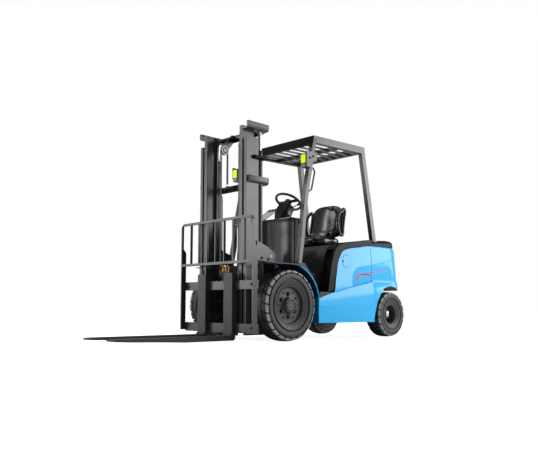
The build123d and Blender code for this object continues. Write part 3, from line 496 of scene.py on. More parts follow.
# The front arch bands' inner faces, and their part ahead of the axle, are painted navy as painted shade.
in_front = add(tree, "ShaderNodeMapRange", [("Value", parts.outputs["Y"])], From_Min=band_rear_y - 0.003,
               From_Max=band_rear_y + 0.003, To_Min=1.0, To_Max=0.0)
reach = add(tree, "ShaderNodeMath", [(0, parts.outputs["X"])], operation="ABSOLUTE")
inner = add(tree, "ShaderNodeMath", [(0, reach.outputs[0]), (1, band_face_x)], operation="LESS_THAN")
ahead = add(tree, "ShaderNodeMath", [(0, parts.outputs["Y"]), (1, 0.0)], operation="LESS_THAN")
shaded = add(tree, "ShaderNodeMath", [(0, inner.outputs[0]), (1, ahead.outputs[0])], operation="MAXIMUM")
painted_arch_shade = add(tree, "ShaderNodeMath", [(0, in_front.outputs[0]), (1, shaded.outputs[0])], operation="MULTIPLY")
arch_shade_colour = add(tree, "ShaderNodeMix", [("Factor", painted_arch_shade.outputs[0]), ("A", colour.outputs["Result"])],
           data_type="RGBA", B=srgb("#0b2c44"))
tree.links.new(arch_shade_colour.outputs["Result"], shader.inputs["Base Color"])
rounded = add(tree, "ShaderNodeBevel", samples=4, Radius=0.004).outputs[0]
mottled(tree, shader, place, 160.0, 2.0, relief=(0.03, 0.002), normal=rounded)
tree.links.new(rounded, shader.inputs["Coat Normal"])
finish(blue_paint, "fender_panels", "charge_flap")


def copy_of(*names):
    """A merged copy of CAD nodes, ready for finer shaping."""
    bm = bmesh.new()
    for name in names:
        bm.from_mesh(nodes[name].data)
    bmesh.ops.remove_doubles(bm, verts=bm.verts, dist=1e-5)
    bmesh.ops.dissolve_limit(bm, angle_limit=math.radians(0.5), verts=bm.verts, edges=bm.edges)
    return bm


def cut_through(bm, place_mm, normal, near=1e-6):
    """Adds edges where a plane crosses the mesh."""
    bmesh.ops.bisect_plane(bm, geom=bm.verts[:] + bm.edges[:] + bm.faces[:], dist=near,
                           plane_co=point(*place_mm), plane_no=normal)


# The panels' skin leans in with height.
flank_foot_x = 579.0
flank_foot_z = 480.0
flank_lean = 0.062
# The shallow hollow starts behind the panel's front edge and runs on over the counterweight.
hollow_front = [(986, 571), (1001, 662), (1071, 768)]
hollow_top = [(1071, 768), (1373, 814), (1750, 885)]
hollow_depth = 17.0
hollow_height = 270.0
hollow_rear_y = 1812.0
hollow_fade = 120.0
edge_run = 7.0


def flank_x(z):
    """How far from the truck's middle the panels' skin stands at a height, in millimetres."""
    return flank_foot_x - flank_lean * (z - flank_foot_z)


def line_at(line, value, axis):
    """The other coordinate of a broken line where one of its coordinates has a value."""
    for a, b in zip(line, line[1:]):
        low, high = sorted((a[axis], b[axis]))
        if low <= value <= high:
            return a[1 - axis] + (b[1 - axis] - a[1 - axis]) * (value - a[axis]) / (b[axis] - a[axis])
    end = line[0] if value < min(line[0][axis], line[-1][axis]) else line[-1]
    return end[1 - axis]


def hollow_at(y, z):
    """How deep the hollow is pressed at one place of the flank, in millimetres."""
    below = line_at(hollow_top, y, 0) - z
    behind = y - line_at(hollow_front, z, 1)
    if below <= 0 or behind <= 0 or y > hollow_rear_y:
        return 0.0
    fade = min(1.0, (hollow_rear_y - y) / hollow_fade)
    depth = hollow_depth * min(1.0, 0.12 + 0.88 * below / hollow_height)
    return depth * min(1.0, below / edge_run) * min(1.0, behind / edge_run) * fade


def shape_flank(bm, lean, fullness):
    """Leans the outer skin inwards with height and presses the hollow into it."""
    for y in range(980, 1830, 15):
        cut_through(bm, (0, y, 0), (0, 1, 0))
    for z in range(560, 900, 12):
        cut_through(bm, (0, 0, z), (0, 0, 1))
    for a, b in zip(hollow_top, hollow_top[1:]):
        for drop in (0, edge_run):
            cut_through(bm, (0, a[0], a[1] - drop), (0, -(b[1] - a[1]), b[0] - a[0]))
    for vert in bm.verts:
        x, y, z = vert.co.x * 1000, vert.co.y * 1000 - axle_y, vert.co.z * 1000
        side = 1 if x > 0 else -1
        shift = lean(x * side, y, z)
        if abs(x) > fullness(z) - 3:
            shift += hollow_at(y, z)
        vert.co.x -= side * shift / 1000


bm = copy_of("side_panels")
shape_flank(bm, lambda x, y, z: 0.0, flank_x)
# The panels' inner faces, and faces that don't look outwards, take the black chassis enamel as painted shade.
part("side_panels_pressed", bm, blue_paint, "chassis", replaced=("side_panels",), sharp=20,
     inside=chassis_paint, is_inside=lambda middle, normal: normal.x * middle.x < 0 or abs(normal.x) < 0.5)

# Counterweight: one iron casting of more than a tonne, filled smooth and enamelled like the panels.
# Its flanks lean in with the panels', its rear corners are drawn in, and its top carries the black cover.
block_half = 595.0
waist_x = 603.0
waist_z = 346.0
waist_lean = 0.0884
foot_lean = 0.081
panel_foot_z = 640.0
shoulder_z = 990.0
shoulder_lean = 0.25
flat_middle = 250.0
lean_run = 300.0
rear_start_y = 1700.0
rear_run = 320.0
# The rear face is drawn forward: these lean above a level, over the shoulder and below a level.
rear_lean, rear_lean_z = 0.045, 560.0
rear_shoulder_lean = 0.22
rear_foot_lean, rear_foot_z = 0.05, 505.0


def counterweight_lean(x, y, z):
    """How far a point of the block is drawn in towards the middle of the truck."""
    if z > panel_foot_z:
        full = flank_x(z)
    elif z > waist_z:
        full = waist_x - waist_lean * (z - waist_z)
    else:
        full = waist_x - foot_lean * (waist_z - z)
    target = min(full, block_half - 0.4)
    top = max(0.0, z - shoulder_z) * shoulder_lean
    return (block_half - target + top) * min(1.0, max(0.0, (x - flat_middle) / lean_run))


def hidden_or_shaded_casting(middle, normal):
    """The block's faces under the covers and over the axle, and those that look down or forward, as in the
    arches, black like the chassis; where they show, this is painted shade.
    """
    y = middle.y - axle_y
    behind_cover = middle.z < 1020 and (y < rear_start_y and abs(middle.x) < 540
                                        or y < 1990 and abs(middle.x) < 300)
    return normal.z < -0.5 or normal.y < -0.3 or behind_cover


bm = copy_of("counterweight")
for z in (262, 300, 346, 400, 460, 520, 640, 900, 960, 990, 1005, 1020, 1030):
    cut_through(bm, (0, 0, z), (0, 0, 1))
shape_flank(bm, counterweight_lean, lambda z: 560)
for vert in bm.verts:
    y, z = vert.co.y * 1000 - axle_y, vert.co.z * 1000
    behind = max(0.0, (y - rear_start_y) / rear_run)
    drawn_in = (rear_lean * max(0.0, z - rear_lean_z) + rear_shoulder_lean * max(0.0, z - shoulder_z)
                + rear_foot_lean * max(0.0, rear_foot_z - z))
    vert.co.y -= behind * drawn_in / 1000
part("counterweight_cast", bm, blue_paint, "chassis", replaced=("counterweight",), sharp=25,
     inside=chassis_paint, is_inside=hidden_or_shaded_casting)

# Black moulded covers: textured ABS that runs up the panel's front edge, back along its top,
# and over the counterweight as a low dome.
cover_plastic, tree, shader, place = surface("black_abs", "#0b0b0c", 0.42, specular=0.14)
mottled(tree, shader, place, 9.0, 2.0, gloss=(0.36, 0.5))
rounded = add(tree, "ShaderNodeBevel", samples=4, Radius=0.005).outputs[0]
mottled(tree, shader, place, 420.0, 3.0, relief=(0.12, 0.001), normal=rounded)


def prism(bm, outline, start, end, axis):
    """Carries a closed outline in millimetres between two levels of one axis."""
    def corner(a, b, level):
        return point(*{"x": (level, a, b), "y": (a, level, b), "z": (a, b, level)}[axis])
    low = [bm.verts.new(corner(a, b, start)) for a, b in outline]
    high = [bm.verts.new(corner(a, b, end)) for a, b in outline]
    bm.faces.new(low)
    bm.faces.new(high)
    for i in range(len(outline)):
        j = (i + 1) % len(outline)
        bm.faces.new((low[i], low[j], high[j], high[i]))


def both_sides(bm):
    """Adds the mirror image across the truck's middle."""
    made = bmesh.ops.duplicate(bm, geom=bm.verts[:] + bm.edges[:] + bm.faces[:])["geom"]
    for vert in (g for g in made if isinstance(g, bmesh.types.BMVert)):
        vert.co.x = -vert.co.x
    bmesh.ops.reverse_faces(bm, faces=[g for g in made if isinstance(g, bmesh.types.BMFace)])


def rounded_line(corners, radius, steps=5):
    """A broken line whose inner corners are rounded."""
    line = [Vector(corners[0])]
    for a, b, c in zip(corners, corners[1:], corners[2:]):
        a, b, c = Vector(a), Vector(b), Vector(c)
        reach = min(radius, (b - a).length * 0.45, (c - b).length * 0.45)
        start = b + (a - b).normalized() * reach
        end = b + (c - b).normalized() * reach
        for i in range(steps + 1):
            t = i / steps
            line.append(start * (1 - t) ** 2 + b * 2 * t * (1 - t) + end * t * t)
    line.append(Vector(corners[-1]))
    return [tuple(p) for p in line]


trim_outer = rounded_line([(578, 504), (634, 787), (700, 950), (800, 1014), (1100, 1052), (1307, 1092),
                           (1352, 1094)], 60)
trim_inner = rounded_line([(1352, 1034), (1306, 1023), (965, 980), (836, 947), (752, 830), (668, 506),
                           (594, 492)], 50)
trim_ledge = rounded_line([(704, 952), (800, 1014), (1100, 1052), (1307, 1092), (1352, 1094), (1352, 1076),
                           (1307, 1074), (1100, 1036), (804, 998), (716, 944)], 12)
bm = bmesh.new()
prism(bm, trim_outer + trim_inner, 533, 568, "x")
prism(bm, trim_ledge, 446, 534, "x")
both_sides(bm)
part("trim_bands_moulded", bm, cover_plastic, "chassis", edge=7, replaced=("trim_bands",))

# Rear cover: one black moulding over the counterweight, a low dome that rises to the rear.
# Its levels are (height above the counterweight, draw-in from its edge), and four screws hold it.
cover_levels = [(-2, 2), (16, 6), (34, 16), (48, 36), (58, 70), (63, 130)]
cover_half = 556.0
cover_front_y = 1351.0
cover_rear_y = 1905.0
cover_foot_z = 1036.0
corner_steps = 12


def cover_slope(y):
    """How far the cover has risen towards the rear."""
    return 0.073 * (y - 1350)


bm = bmesh.new()
rings = []
for rise, inset in cover_levels:
    half, rear, corner = cover_half - inset, cover_rear_y - inset, 190 - inset * 0.4
    outline = [(-half, cover_front_y), (half, cover_front_y)]
    for side, start in ((1, 0), (-1, 90)):
        for i in range(corner_steps + 1):
            turned = math.radians(start + 90 * i / corner_steps)
            outline.append((side * (half - corner) + corner * math.cos(turned),
                            rear - corner + corner * math.sin(turned)))
    rings.append([bm.verts.new(point(x, y, cover_foot_z + rise + (cover_slope(y) - 4 if rise > 0 else 0)))
                  for x, y in outline])
for ring, other in zip(rings, rings[1:]):
    for i in range(len(ring)):
        j = (i + 1) % len(ring)
        bm.faces.new((ring[i], ring[j], other[j], other[i]))
bm.faces.new(rings[0])
bm.faces.new(rings[-1])
part("rear_cover_moulded", bm, cover_plastic, "chassis", sharp=30)
fixings("cover_bolts", [(side * 520, y, 1076 + cover_slope(y)) for side in (1, -1) for y in (1392, 1620)],
        (0, 0, 1), 13, 7, black_steel, "chassis")

# Red and silver sweep: thin self-coloured films that rise to the rear across the hollow, left plain.
# They are laid on the panel and the counterweight, and the sweeps are cut at the seam between them.
red_film, tree, shader, place = surface("red_film", "#d0202a", 0.3, coat=0.5)
mottled(tree, shader, place, 500.0, 1.0, gloss=(0.24, 0.36))
silver_film, tree, shader, place = surface("silver_film", "#8f9aa6", 0.3, metallic=0.4, coat=0.5)
mottled(tree, shader, place, 500.0, 1.0, gloss=(0.24, 0.36))
seam_front_y = 1339
seam_rear_y = 1357
film_steps = 48
film_lift = 0.6


def film(name, top, foot, material):
    """A film laid on the flank between two lines, on both sides of the truck."""
    bm = bmesh.new()
    for start, end in ((top[0][0], seam_front_y), (seam_rear_y, top[-1][0])):
        pairs = []
        for i in range(film_steps + 1):
            y = start + (end - start) * i / film_steps
            pair = []
            for line in (top, foot):
                z = line_at(line, y, 0)
                pair.append(bm.verts.new(point(flank_x(z) - hollow_at(y, z) + film_lift, y, z)))
            pairs.append(pair)
        for a, b in zip(pairs, pairs[1:]):
            bm.faces.new((a[0], a[1], b[1], b[0]))
    both_sides(bm)
    part(name, bm, material, "chassis")


film("red_sweep", [(1160, 702), (1716, 784)], [(1160, 692), (1716, 779)], red_film)
film("red_flash", [(1072, 684), (1100, 692), (1160, 702)], [(1072, 596), (1104, 664), (1160, 690)], red_film)
film("silver_sweep", [(1150, 676), (1600, 742)], [(1150, 672), (1600, 739)], silver_film)

# Charging flap: the round lid keeps the panel's enamel, with a small black latch at its front edge.
# A thin black rubber seal rings it, and is left open where its hinge is.
flap_y, flap_z = 900, 828
seal_inner, seal_outer = 69.3, 73.0
seal_lift = 1.0
seal_steps = 72
seal_run = range(10, 62)
bm = bmesh.new()
prism(bm, rounded_line([(836, 818), (850, 818), (850, 838), (836, 838), (836, 818)], 4), 556, 560.5, "x")
part("flap_latch", bm, cover_plastic, "charge_flap", edge=1)

bm = bmesh.new()
inner, outer = [], []
for i in range(seal_steps):
    c, s = math.cos(math.tau * i / seal_steps), math.sin(math.tau * i / seal_steps)
    for ring, radius in ((inner, seal_inner), (outer, seal_outer)):
        y, z = flap_y + radius * c, flap_z + radius * s
        ring.append(bm.verts.new(point(flank_x(z) + seal_lift, y, z)))
for i in seal_run:
    bm.faces.new((inner[i], inner[i + 1], outer[i + 1], outer[i]))
part("flap_seal", bm, cover_plastic, "chassis")

# Floor and steps: folded sheet in black enamel, with a ribbed rubber mat and raised lozenges on the
# steps, pressed into the sheet against slipping.
mat_rubber, tree, shader, place = surface("ribbed_mat_rubber", "#1a1a1b", 0.7)
mottled(tree, shader, place, 30.0, 5.0, gloss=(0.55, 0.8))


def studs(name, size, counts, centre, stud, height, material, body):
    """Raised lozenges, every other one turned, grown by geometry nodes on a grid."""
    seat, tree, given = growth(name, [], [("Length", "Float"), ("Width", "Float"), ("Stud", "Vector")])
    grid = add(tree, "GeometryNodeMeshGrid", [("Size X", given["Width"]), ("Size Y", given["Length"])],
               Vertices_X=counts[0], Vertices_Y=counts[1])
    lozenge = add(tree, "GeometryNodeMeshCube", [("Size", given["Stud"])])
    index = add(tree, "GeometryNodeInputIndex")
    odd = add(tree, "ShaderNodeMath", [(0, index.outputs[0]), (1, 2.0)], operation="MODULO")
    angle = add(tree, "ShaderNodeMath", [(0, odd.outputs[0]), (1, math.pi / 2), (2, math.pi / 4)],
                operation="MULTIPLY_ADD")
    turned = add(tree, "ShaderNodeCombineXYZ", [("Z", angle.outputs[0])])
    placed = add(tree, "GeometryNodeInstanceOnPoints", [("Points", grid.outputs["Mesh"]),
                                                        ("Instance", lozenge.outputs["Mesh"]),
                                                        ("Rotation", turned.outputs[0])])
    moved = add(tree, "GeometryNodeTransform", [("Geometry", placed.outputs[0]),
                                                ("Translation", point(*centre))])
    grown(seat, tree, given, moved.outputs[0], Length=size[1] / 1000, Width=size[0] / 1000,
          Stud=(stud / 1000, stud * 0.32 / 1000, height / 1000), Finish=material)
    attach(seat, body)


mat_half = 412
mat_foot_z = 692.3
rib_pitch = 24.4
rib_count = 34
for side, label in sides:
    studs(f"step_studs_{label}", (120, 150), (7, 8), (side * 507, 498, 490.6), 15, 2.4, chassis_paint,
          "chassis")
bm = bmesh.new()
for i in range(rib_count):
    x = -mat_half + i * rib_pitch
    prism(bm, [(x, mat_foot_z), (x + 16, mat_foot_z), (x + 14, 697), (x + 2, 697)], 412, 618, "y")
prism(bm, [(-418, 692.2), (418, 692.2), (418, 694), (-418, 694)], 408, 621, "y")
part("floor_mat", bm, mat_rubber, "chassis")

# Cowl: one bowed panel of black structural foam in front of the driver, with the dash folded back
# from its top. Its satin skin shows long soft gradients.
cowl_plastic, tree, shader, place = surface("satin_structural_foam", "#1b1b1c", 0.3, coat=0.8,
                                            coat_roughness=0.22)
rounded = add(tree, "ShaderNodeBevel", samples=4, Radius=0.006).outputs[0]
mottled(tree, shader, place, 300.0, 2.0, relief=(0.06, 0.001), normal=rounded)
cowl_half = 436.0
cowl_front_y = 130.0
cowl_sag = 70.0
cowl_wall = 14
columns = 60
# The front skin's levels with how far each is set back, and the rear skin's levels.
front_levels = [(766.5, 6), (772, 1), (800, 0), (1000, 0), (1200, 0), (1232, 2), (1244, 6), (1250, 14)]
rear_levels = [766.5, 780, 820, 1000, 1180, 1225, 1238, 1249]
bm = bmesh.new()
front_rows, rear_rows = [], []
for i in range(columns + 1):
    x = -cowl_half + 2 * cowl_half * i / columns
    y = cowl_front_y + cowl_sag * (x / cowl_half) ** 2
    front_rows.append([bm.verts.new(point(x, y + back, z)) for z, back in front_levels])
    rear_rows.append([bm.verts.new(point(x, y + cowl_wall, z)) for z in rear_levels])
for rows in (front_rows, rear_rows):
    for a, b in zip(rows, rows[1:]):
        for j in range(len(a) - 1):
            bm.faces.new((a[j], a[j + 1], b[j + 1], b[j]))
for k in range(columns):
    for level in (0, -1):
        bm.faces.new((front_rows[k][level], front_rows[k + 1][level], rear_rows[k + 1][level],
                      rear_rows[k][level]))
for k in (0, -1):
    for j in range(len(rear_levels) - 1):
        bm.faces.new((front_rows[k][j], front_rows[k][j + 1], rear_rows[k][j + 1], rear_rows[k][j]))
dash = rounded_line([(142, 1250), (318, 1250), (336, 1244), (376, 1192), (292, 1080)], 18)
dash += rounded_line([(282, 1086), (360, 1192), (324, 1236), (160, 1236), (142, 1240)], 10)
for start, end in ((-cowl_half, -78), (78, cowl_half)):
    prism(bm, dash, start, end, "x")
prism(bm, [(152, 1250), (274, 1250), (274, 1238), (152, 1238)], -79, 79, "x")
for side in (1, -1):
    prism(bm, [(203, 768), (300, 768), (262, 1238), (203, 1238)], side * (cowl_half - 12),
          side * cowl_half, "x")
# The moulding's end faces take the darker, less glossy black ABS as painted shade.
part("front_cowl_moulded", bm, cowl_plastic, "chassis", replaced=("front_cowl",), sharp=42,
     inside=cover_plastic, is_inside=lambda middle, normal: abs(normal.x) > 0.8)
finish(cover_plastic, "pedals")

# Steering column: a boxed black cover over the steel tube, with a pleated rubber boot at the floor.
# A direction lever and a key switch are screwed to its side.
column_lean = math.radians(30)
column_top = Vector((0.0, 580.0, 1508.0))
column_line = Vector((0.0, -math.sin(column_lean), -math.cos(column_lean)))
pod_sides = 32


def pod(bm, sections, origin, line, wide, squareness):
    """A rounded box along a line, from (along, half width, half depth) sections."""
    deep = line.cross(wide).normalized()
    rings = []
    for along, half_wide, half_deep in sections:
        ring = []
        for i in range(pod_sides):
            c, s = math.cos(math.tau * i / pod_sides), math.sin(math.tau * i / pod_sides)
            a = math.copysign(abs(c) ** squareness, c) * half_wide
            b = math.copysign(abs(s) ** squareness, s) * half_deep
            ring.append(bm.verts.new(point(*(origin + line * along + wide * a + deep * b))))
        rings.append(ring)
    for ring, other in zip(rings, rings[1:]):
        for i in range(pod_sides):
            j = (i + 1) % pod_sides
            bm.faces.new((ring[i], ring[j], other[j], other[i]))
    bm.faces.new(rings[0])
    bm.faces.new(rings[-1])


bm = bmesh.new()
pod(bm, [(46, 40, 34), (52, 66, 52), (66, 84, 64), (110, 92, 70), (180, 90, 70), (232, 74, 60), (274, 54, 46),
         (296, 40, 34)], column_top, column_line, Vector((1, 0, 0)), 0.55)
lathe(bm, [(290, 30), (780, 30), (780, 0), (290, 0)], tuple(column_top), column_line, 28)
pleats = [(600 + 12 * i, 52 if i % 2 else 38) for i in range(15)]
lathe(bm, [(600, 0)] + pleats + [(768, 0)], tuple(column_top), column_line, 32)
prism(bm, rounded_line([(-50, 162), (50, 162), (50, 212), (-50, 212), (-50, 162)], 12), 766.5, 852, "z")
part("steering_column_cover", bm, cover_plastic, "chassis", replaced=("steering_column",), sharp=45)
knob_grey, tree, shader, place = surface("grey_nylon", "#3c3e41", 0.38)
mottled(tree, shader, place, 250.0, 2.0, relief=(0.1, 0.001))
bm = bmesh.new()
switch_place = column_top + column_line * 170
lathe(bm, [(80, 0), (80, 34), (96, 32), (102, 25), (102, 14), (97, 11), (97, 0)], tuple(switch_place),
      (1, 0, 0), 32)
part("key_switch", bm, knob_grey, "chassis")


def tube(bm, line, radius, sides=12):
    """A round bar or hose through millimetre points."""
    points = [Vector(p) for p in line]
    side = None
    rings = []
    for i, here in enumerate(points):
        ahead = (points[min(i + 1, len(points) - 1)] - points[max(i - 1, 0)]).normalized()
        side = ahead.orthogonal() if side is None else side - ahead * side.dot(ahead)
        side.normalize()
        other = ahead.cross(side)
        rings.append([bm.verts.new(point(*(here + (side * math.cos(math.tau * k / sides)
                                                   + other * math.sin(math.tau * k / sides)) * radius)))
                      for k in range(sides)])
    for ring, other in zip(rings, rings[1:]):
        for k in range(sides):
            bm.faces.new((ring[k], ring[(k + 1) % sides], other[(k + 1) % sides], other[k]))
    bm.faces.new(rings[0])
    bm.faces.new(rings[-1])


def eased(points, steps=8):
    """A smooth line through points."""
    points = [Vector(p) for p in points]
    line = []
    for i in range(len(points) - 1):
        a, b, c, d = points[max(i - 1, 0)], points[i], points[i + 1], points[min(i + 2, len(points) - 1)]
        for k in range(steps):
            t = k / steps
            line.append(0.5 * (2 * b + (c - a) * t + (2 * a - 5 * b + 4 * c - d) * t * t
                               + (3 * b - a - 3 * c + d) * t ** 3))
    return line + [points[-1]]


bm = bmesh.new()
stalk = column_top + column_line * 96
tube(bm, eased([stalk + Vector((60, 0, 0)), stalk + Vector((110, 2, 6)), stalk + Vector((176, 12, 26))]), 5.5)
lathe(bm, [(0, 0), (0, 9), (8, 12), (34, 13), (42, 9), (44, 0)], tuple(stalk + Vector((170, 11, 24))),
      (1, 0.12, 0.35), 20)
part("direction_lever", bm, cover_plastic, "chassis")

# Hydraulic levers: four straight steel rods with moulded grips, each in a round collar on a console.
# They lean back towards the driver's right hand.
lever_places = [-255 + 48 * i for i in range(4)]
bm = bmesh.new()
prism(bm, rounded_line([(292, 1250.4), (334, 1250.4), (334, 1268), (326, 1276), (298, 1276), (292, 1268),
                        (292, 1250.4)], 4), -270, -90, "x")
for x in lever_places:
    lathe(bm, [(0, 0), (0, 15), (6, 15), (9, 11), (13, 12), (16, 8), (20, 8), (20, 0)], (x, 313, 1275),
          (0, 0.5, 0.86), 20)
part("lever_console", bm, cover_plastic, "chassis", replaced=("control_levers",))
bm = bmesh.new()
grips = bmesh.new()
for x in lever_places:
    tube(bm, [(x, 316, 1280), (x, 334, 1298), (x, 505, 1412)], 5.5)
    lathe(grips, [(0, 0), (0, 6), (6, 8), (40, 9), (56, 9), (62, 6), (64, 0)], (x, 497, 1406.5),
          (0, 0.832, 0.555), 20)
part("lever_rods", bm, cover_plastic, "chassis")
part("lever_grips", grips, cover_plastic, "chassis")

# Steering wheel: a steel ring and spokes foamed over with black polyurethane.
# Its skin is fine-grained.
wheel_foam, tree, shader, place = surface("black_polyurethane", "#101011", 0.34)
mottled(tree, shader, place, 350.0, 3.0, relief=(0.15, 0.001))
finish(wheel_foam, "steering_wheel")
bm = bmesh.new()
lathe(bm, [(-6, 0), (-6, 40), (8, 40), (16, 34), (20, 20), (21, 0)], tuple(column_top), -column_line, 40)
part("wheel_boss_pad", bm, wheel_foam, "steering_wheel")

# Hood: the folded steel cover over the battery, black enamel like the chassis, with a louvred front.
# It is hinged at its rear and swings up with the seat on it.
hood_paint, tree, shader, place = surface("black_hood_enamel", "#151617", 0.34, coat=0.3)
worn_edges(tree, shader, "#151617", "#4a4b4d", 0.006, 0.4)
finish(hood_paint, "hood")
hood_front_y = 641.5
hood_foot_z = 702
hood_lean = 0.2
louvre_foot_z = 748
louvre_count = 9
louvre_pitch = 17
bm = bmesh.new()
for i in range(louvre_count):
    z = louvre_foot_z + i * louvre_pitch
    y = hood_front_y + (z - hood_foot_z) * hood_lean
    prism(bm, [(y - 4, z), (y + 4, z + 3), (y + 6, z + 10), (y + 2, z + 10)], -180, 180, "x")
part("hood_louvres", bm, hood_paint, "hood")

# Seat: foam cushion and wrap-round back in smooth black vinyl, with a sewn seam near each edge, and
# a padded hip loop each side. It rides on the hood.
vinyl, tree, shader, place = surface("black_vinyl", "#080809", 0.20, coat=0.3, coat_roughness=0.16)
leather = add(tree, "ShaderNodeTexVoronoi", [("Vector", place)], Scale=260.0)
bump = add(tree, "ShaderNodeBump", [("Height", leather.outputs["Distance"])], Strength=0.015, Distance=0.001)
mottled(tree, shader, place, 16.0, 4.0, gloss=(0.15, 0.24), relief=(0.05, 0.01), normal=bump.outputs[0])


def groove(value, seams, width):
    """How deep a sewn seam pulls the vinyl in, from 0 to 1."""
    return max([math.exp(-((value - s) / width) ** 2) for s in seams])


def pad(name, shape, seams_u, seams_v, pull):
    """A crowned, stuffed form: a fine box shaped by rule, with seams drawn in."""
    bm = bmesh.new()
    bmesh.ops.create_cube(bm, size=2.0)
    bmesh.ops.subdivide_edges(bm, edges=bm.edges, cuts=39, use_grid_fill=True)
    for vert in bm.verts:
        u, v, w = vert.co
        seam = max(groove(u, seams_u, 0.035), groove(v, seams_v, 0.03)) if w > 0.55 else 0.0
        vert.co = point(*shape(u, v, w, seam * pull))
    mesh = bpy.data.meshes.new(name)
    bmesh.ops.recalc_face_normals(bm, faces=bm.faces)
    bm.to_mesh(mesh)
    bm.free()
    mesh.materials.append(vinyl)
    mesh.shade_smooth()
    made = bpy.data.objects.new(name, mesh)
    scene.collection.objects.link(made)
    return made


def squared(u, v, w, power):
    """Maps a cube's surface to a rounded box of the same reach."""
    length = (abs(u) ** power + abs(v) ** power + abs(w) ** power) ** (1 / power)
    return u / length, v / length, w / length


def cushion_shape(u, v, w, seam):
    """The seat cushion: higher at its sides and front, hollowed where the driver sits."""
    a, b, c = squared(u, v, w, 3.6)
    y = 1045 + 214 * b
    side_roll = 10 * math.exp(-((abs(u) - 0.8) / 0.16) ** 2)
    top = 1136 + side_roll - 8 * math.exp(-(u * u + (v - 0.2) ** 2) / 0.35)
    foot = 1009 + (y - 830) * 0.06
    z = foot + (top - seam - foot) * (c + 1) / 2
    return 238 * a, y, z


def back_shape(u, v, w, seam):
    """The backrest: widest at the shoulders' height, domed on top, wrapped forward at its sides."""
    a, b, c = squared(u, v, w, 5)
    rise = (b + 1) / 2
    z = 1141 + 392 * rise
    width = 236 - 58 * max(0.0, (rise - 0.62) / 0.38) ** 1.7
    middle = 1222 + 62 * rise ** 1.3
    wrap = 34 * max(0.0, abs(a) - 0.45) ** 1.5 + 30 * (1 - min(1.0, a * a)) * (1 if w > 0 else 0)
    thick = 44 - 14 * rise
    y = middle - thick * c - wrap * (1 if w > 0 else 0.6) + seam * (1 if w > 0.55 else 0)
    return width * a, y, z


def stuffed(made, reach):
    """Blows the form up as cloth under pressure, and keeps each point near where it was."""
    rest = [v.co.copy() for v in made.data.vertices]
    cloth = made.modifiers.new("stuffing", "CLOTH")
    cloth.settings.use_pressure = True
    cloth.settings.uniform_pressure_force = 4.0
    cloth.settings.tension_stiffness = 18
    cloth.settings.bending_stiffness = 6
    cloth.settings.effector_weights.gravity = 0
    cloth.point_cache.frame_end = stuffing_frames
    for number in range(1, stuffing_frames + 1):
        scene.frame_set(number)
    after = bpy.data.meshes.new_from_object(made.evaluated_get(bpy.context.evaluated_depsgraph_get()))
    made.modifiers.clear()
    for vert, old in zip(after.vertices, rest):
        move = vert.co - old
        if move.length > reach:
            vert.co = old + move.normalized() * reach
    scene.frame_set(1)
    made.data = after


stuffing_frames = 20
cushion = pad("seat_cushion_pad", cushion_shape, (-0.66, 0.66), (-0.72,), 3.0)
back = pad("seat_back_pad", back_shape, (-0.86, 0.86), (-0.9,), 1.5)
for made, node in ((cushion, "seat_cushion"), (back, "seat_back")):
    stuffed(made, 0.006)
    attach(made, "hood")
    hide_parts(node)

bm = bmesh.new()
loop = eased([(0, 1180, 1165), (0, 1148, 1250), (0, 1146, 1345), (0, 1184, 1420), (0, 1250, 1470),
              (0, 1272, 1440), (0, 1256, 1350), (0, 1238, 1250), (0, 1224, 1170), (0, 1180, 1165)], 7)
for side in (1, -1):
    line = [p + Vector((side * (246 - 3 * math.sin((p.z - 1178) / 290 * math.pi)), 0, 0)) for p in loop]
    tube(bm, line, 19, 14)
part("hip_loops", bm, vinyl, "hood", sharp=60)
bm = bmesh.new()
prism(bm, [(900, 1028), (1240, 1048), (1240, 1036), (900, 1015)], -150, 150, "x")
for side in (1, -1):
    prism(bm, rounded_line([(side * 196, 1150), (side * 206, 1150), (side * 206, 1195), (side * 196, 1195),
                            (side * 196, 1150)], 3), 1150, 1172, "y")
part("seat_base_and_buckles", bm, cover_plastic, "hood", edge=2)

# Overhead guard: welded square tube and flat bars in satin charcoal enamel, bolted to the chassis.
# Hands and rain have dulled the enamel at its edges.
guard_paint, tree, shader, place = surface("charcoal_enamel", "#18191b", 0.34, coat=0.25, specular=0.4,
                                           coat_roughness=0.22)
worn_edges(tree, shader, "#1c1d1f", "#6a6b6d", 0.003, 0.3)
mottled(tree, shader, place, 5.0, 2.0, gloss=(0.30, 0.40))
# The roof's front beam is painted near black, with little sheen, as painted shade.
parts = add(tree, "ShaderNodeSeparateXYZ", [(0, place)])
reach = add(tree, "ShaderNodeMath", [(0, parts.outputs["X"])], operation="ABSOLUTE")
shaded_beam_limits = [(reach.outputs[0], "LESS_THAN", 0.4985), (parts.outputs["Y"], "LESS_THAN", 0.3605),
               (parts.outputs["Z"], "GREATER_THAN", 2.02)]
beam = 1.0
for source, rule, limit in shaded_beam_limits:
    test = add(tree, "ShaderNodeMath", [(0, source), (1, limit)], operation=rule)
    beam = add(tree, "ShaderNodeMath", [(0, test.outputs[0]), (1, beam)], operation="MULTIPLY").outputs[0]
enamel = shader.inputs["Base Color"].links[0].from_socket
painted_beam_shade = add(tree, "ShaderNodeMix", [("Factor", beam), ("A", enamel)], data_type="RGBA", B=srgb("#060606"))
tree.links.new(painted_beam_shade.outputs["Result"], shader.inputs["Base Color"])
for socket, satin, in_shade in (("Specular IOR Level", 0.4, 0.05), ("Coat Weight", 0.25, 0.0)):
    level = add(tree, "ShaderNodeMapRange", [("Value", beam)], To_Min=satin, To_Max=in_shade)
    tree.links.new(level.outputs[0], shader.inputs[socket])
finish(guard_paint, "overhead_guard")
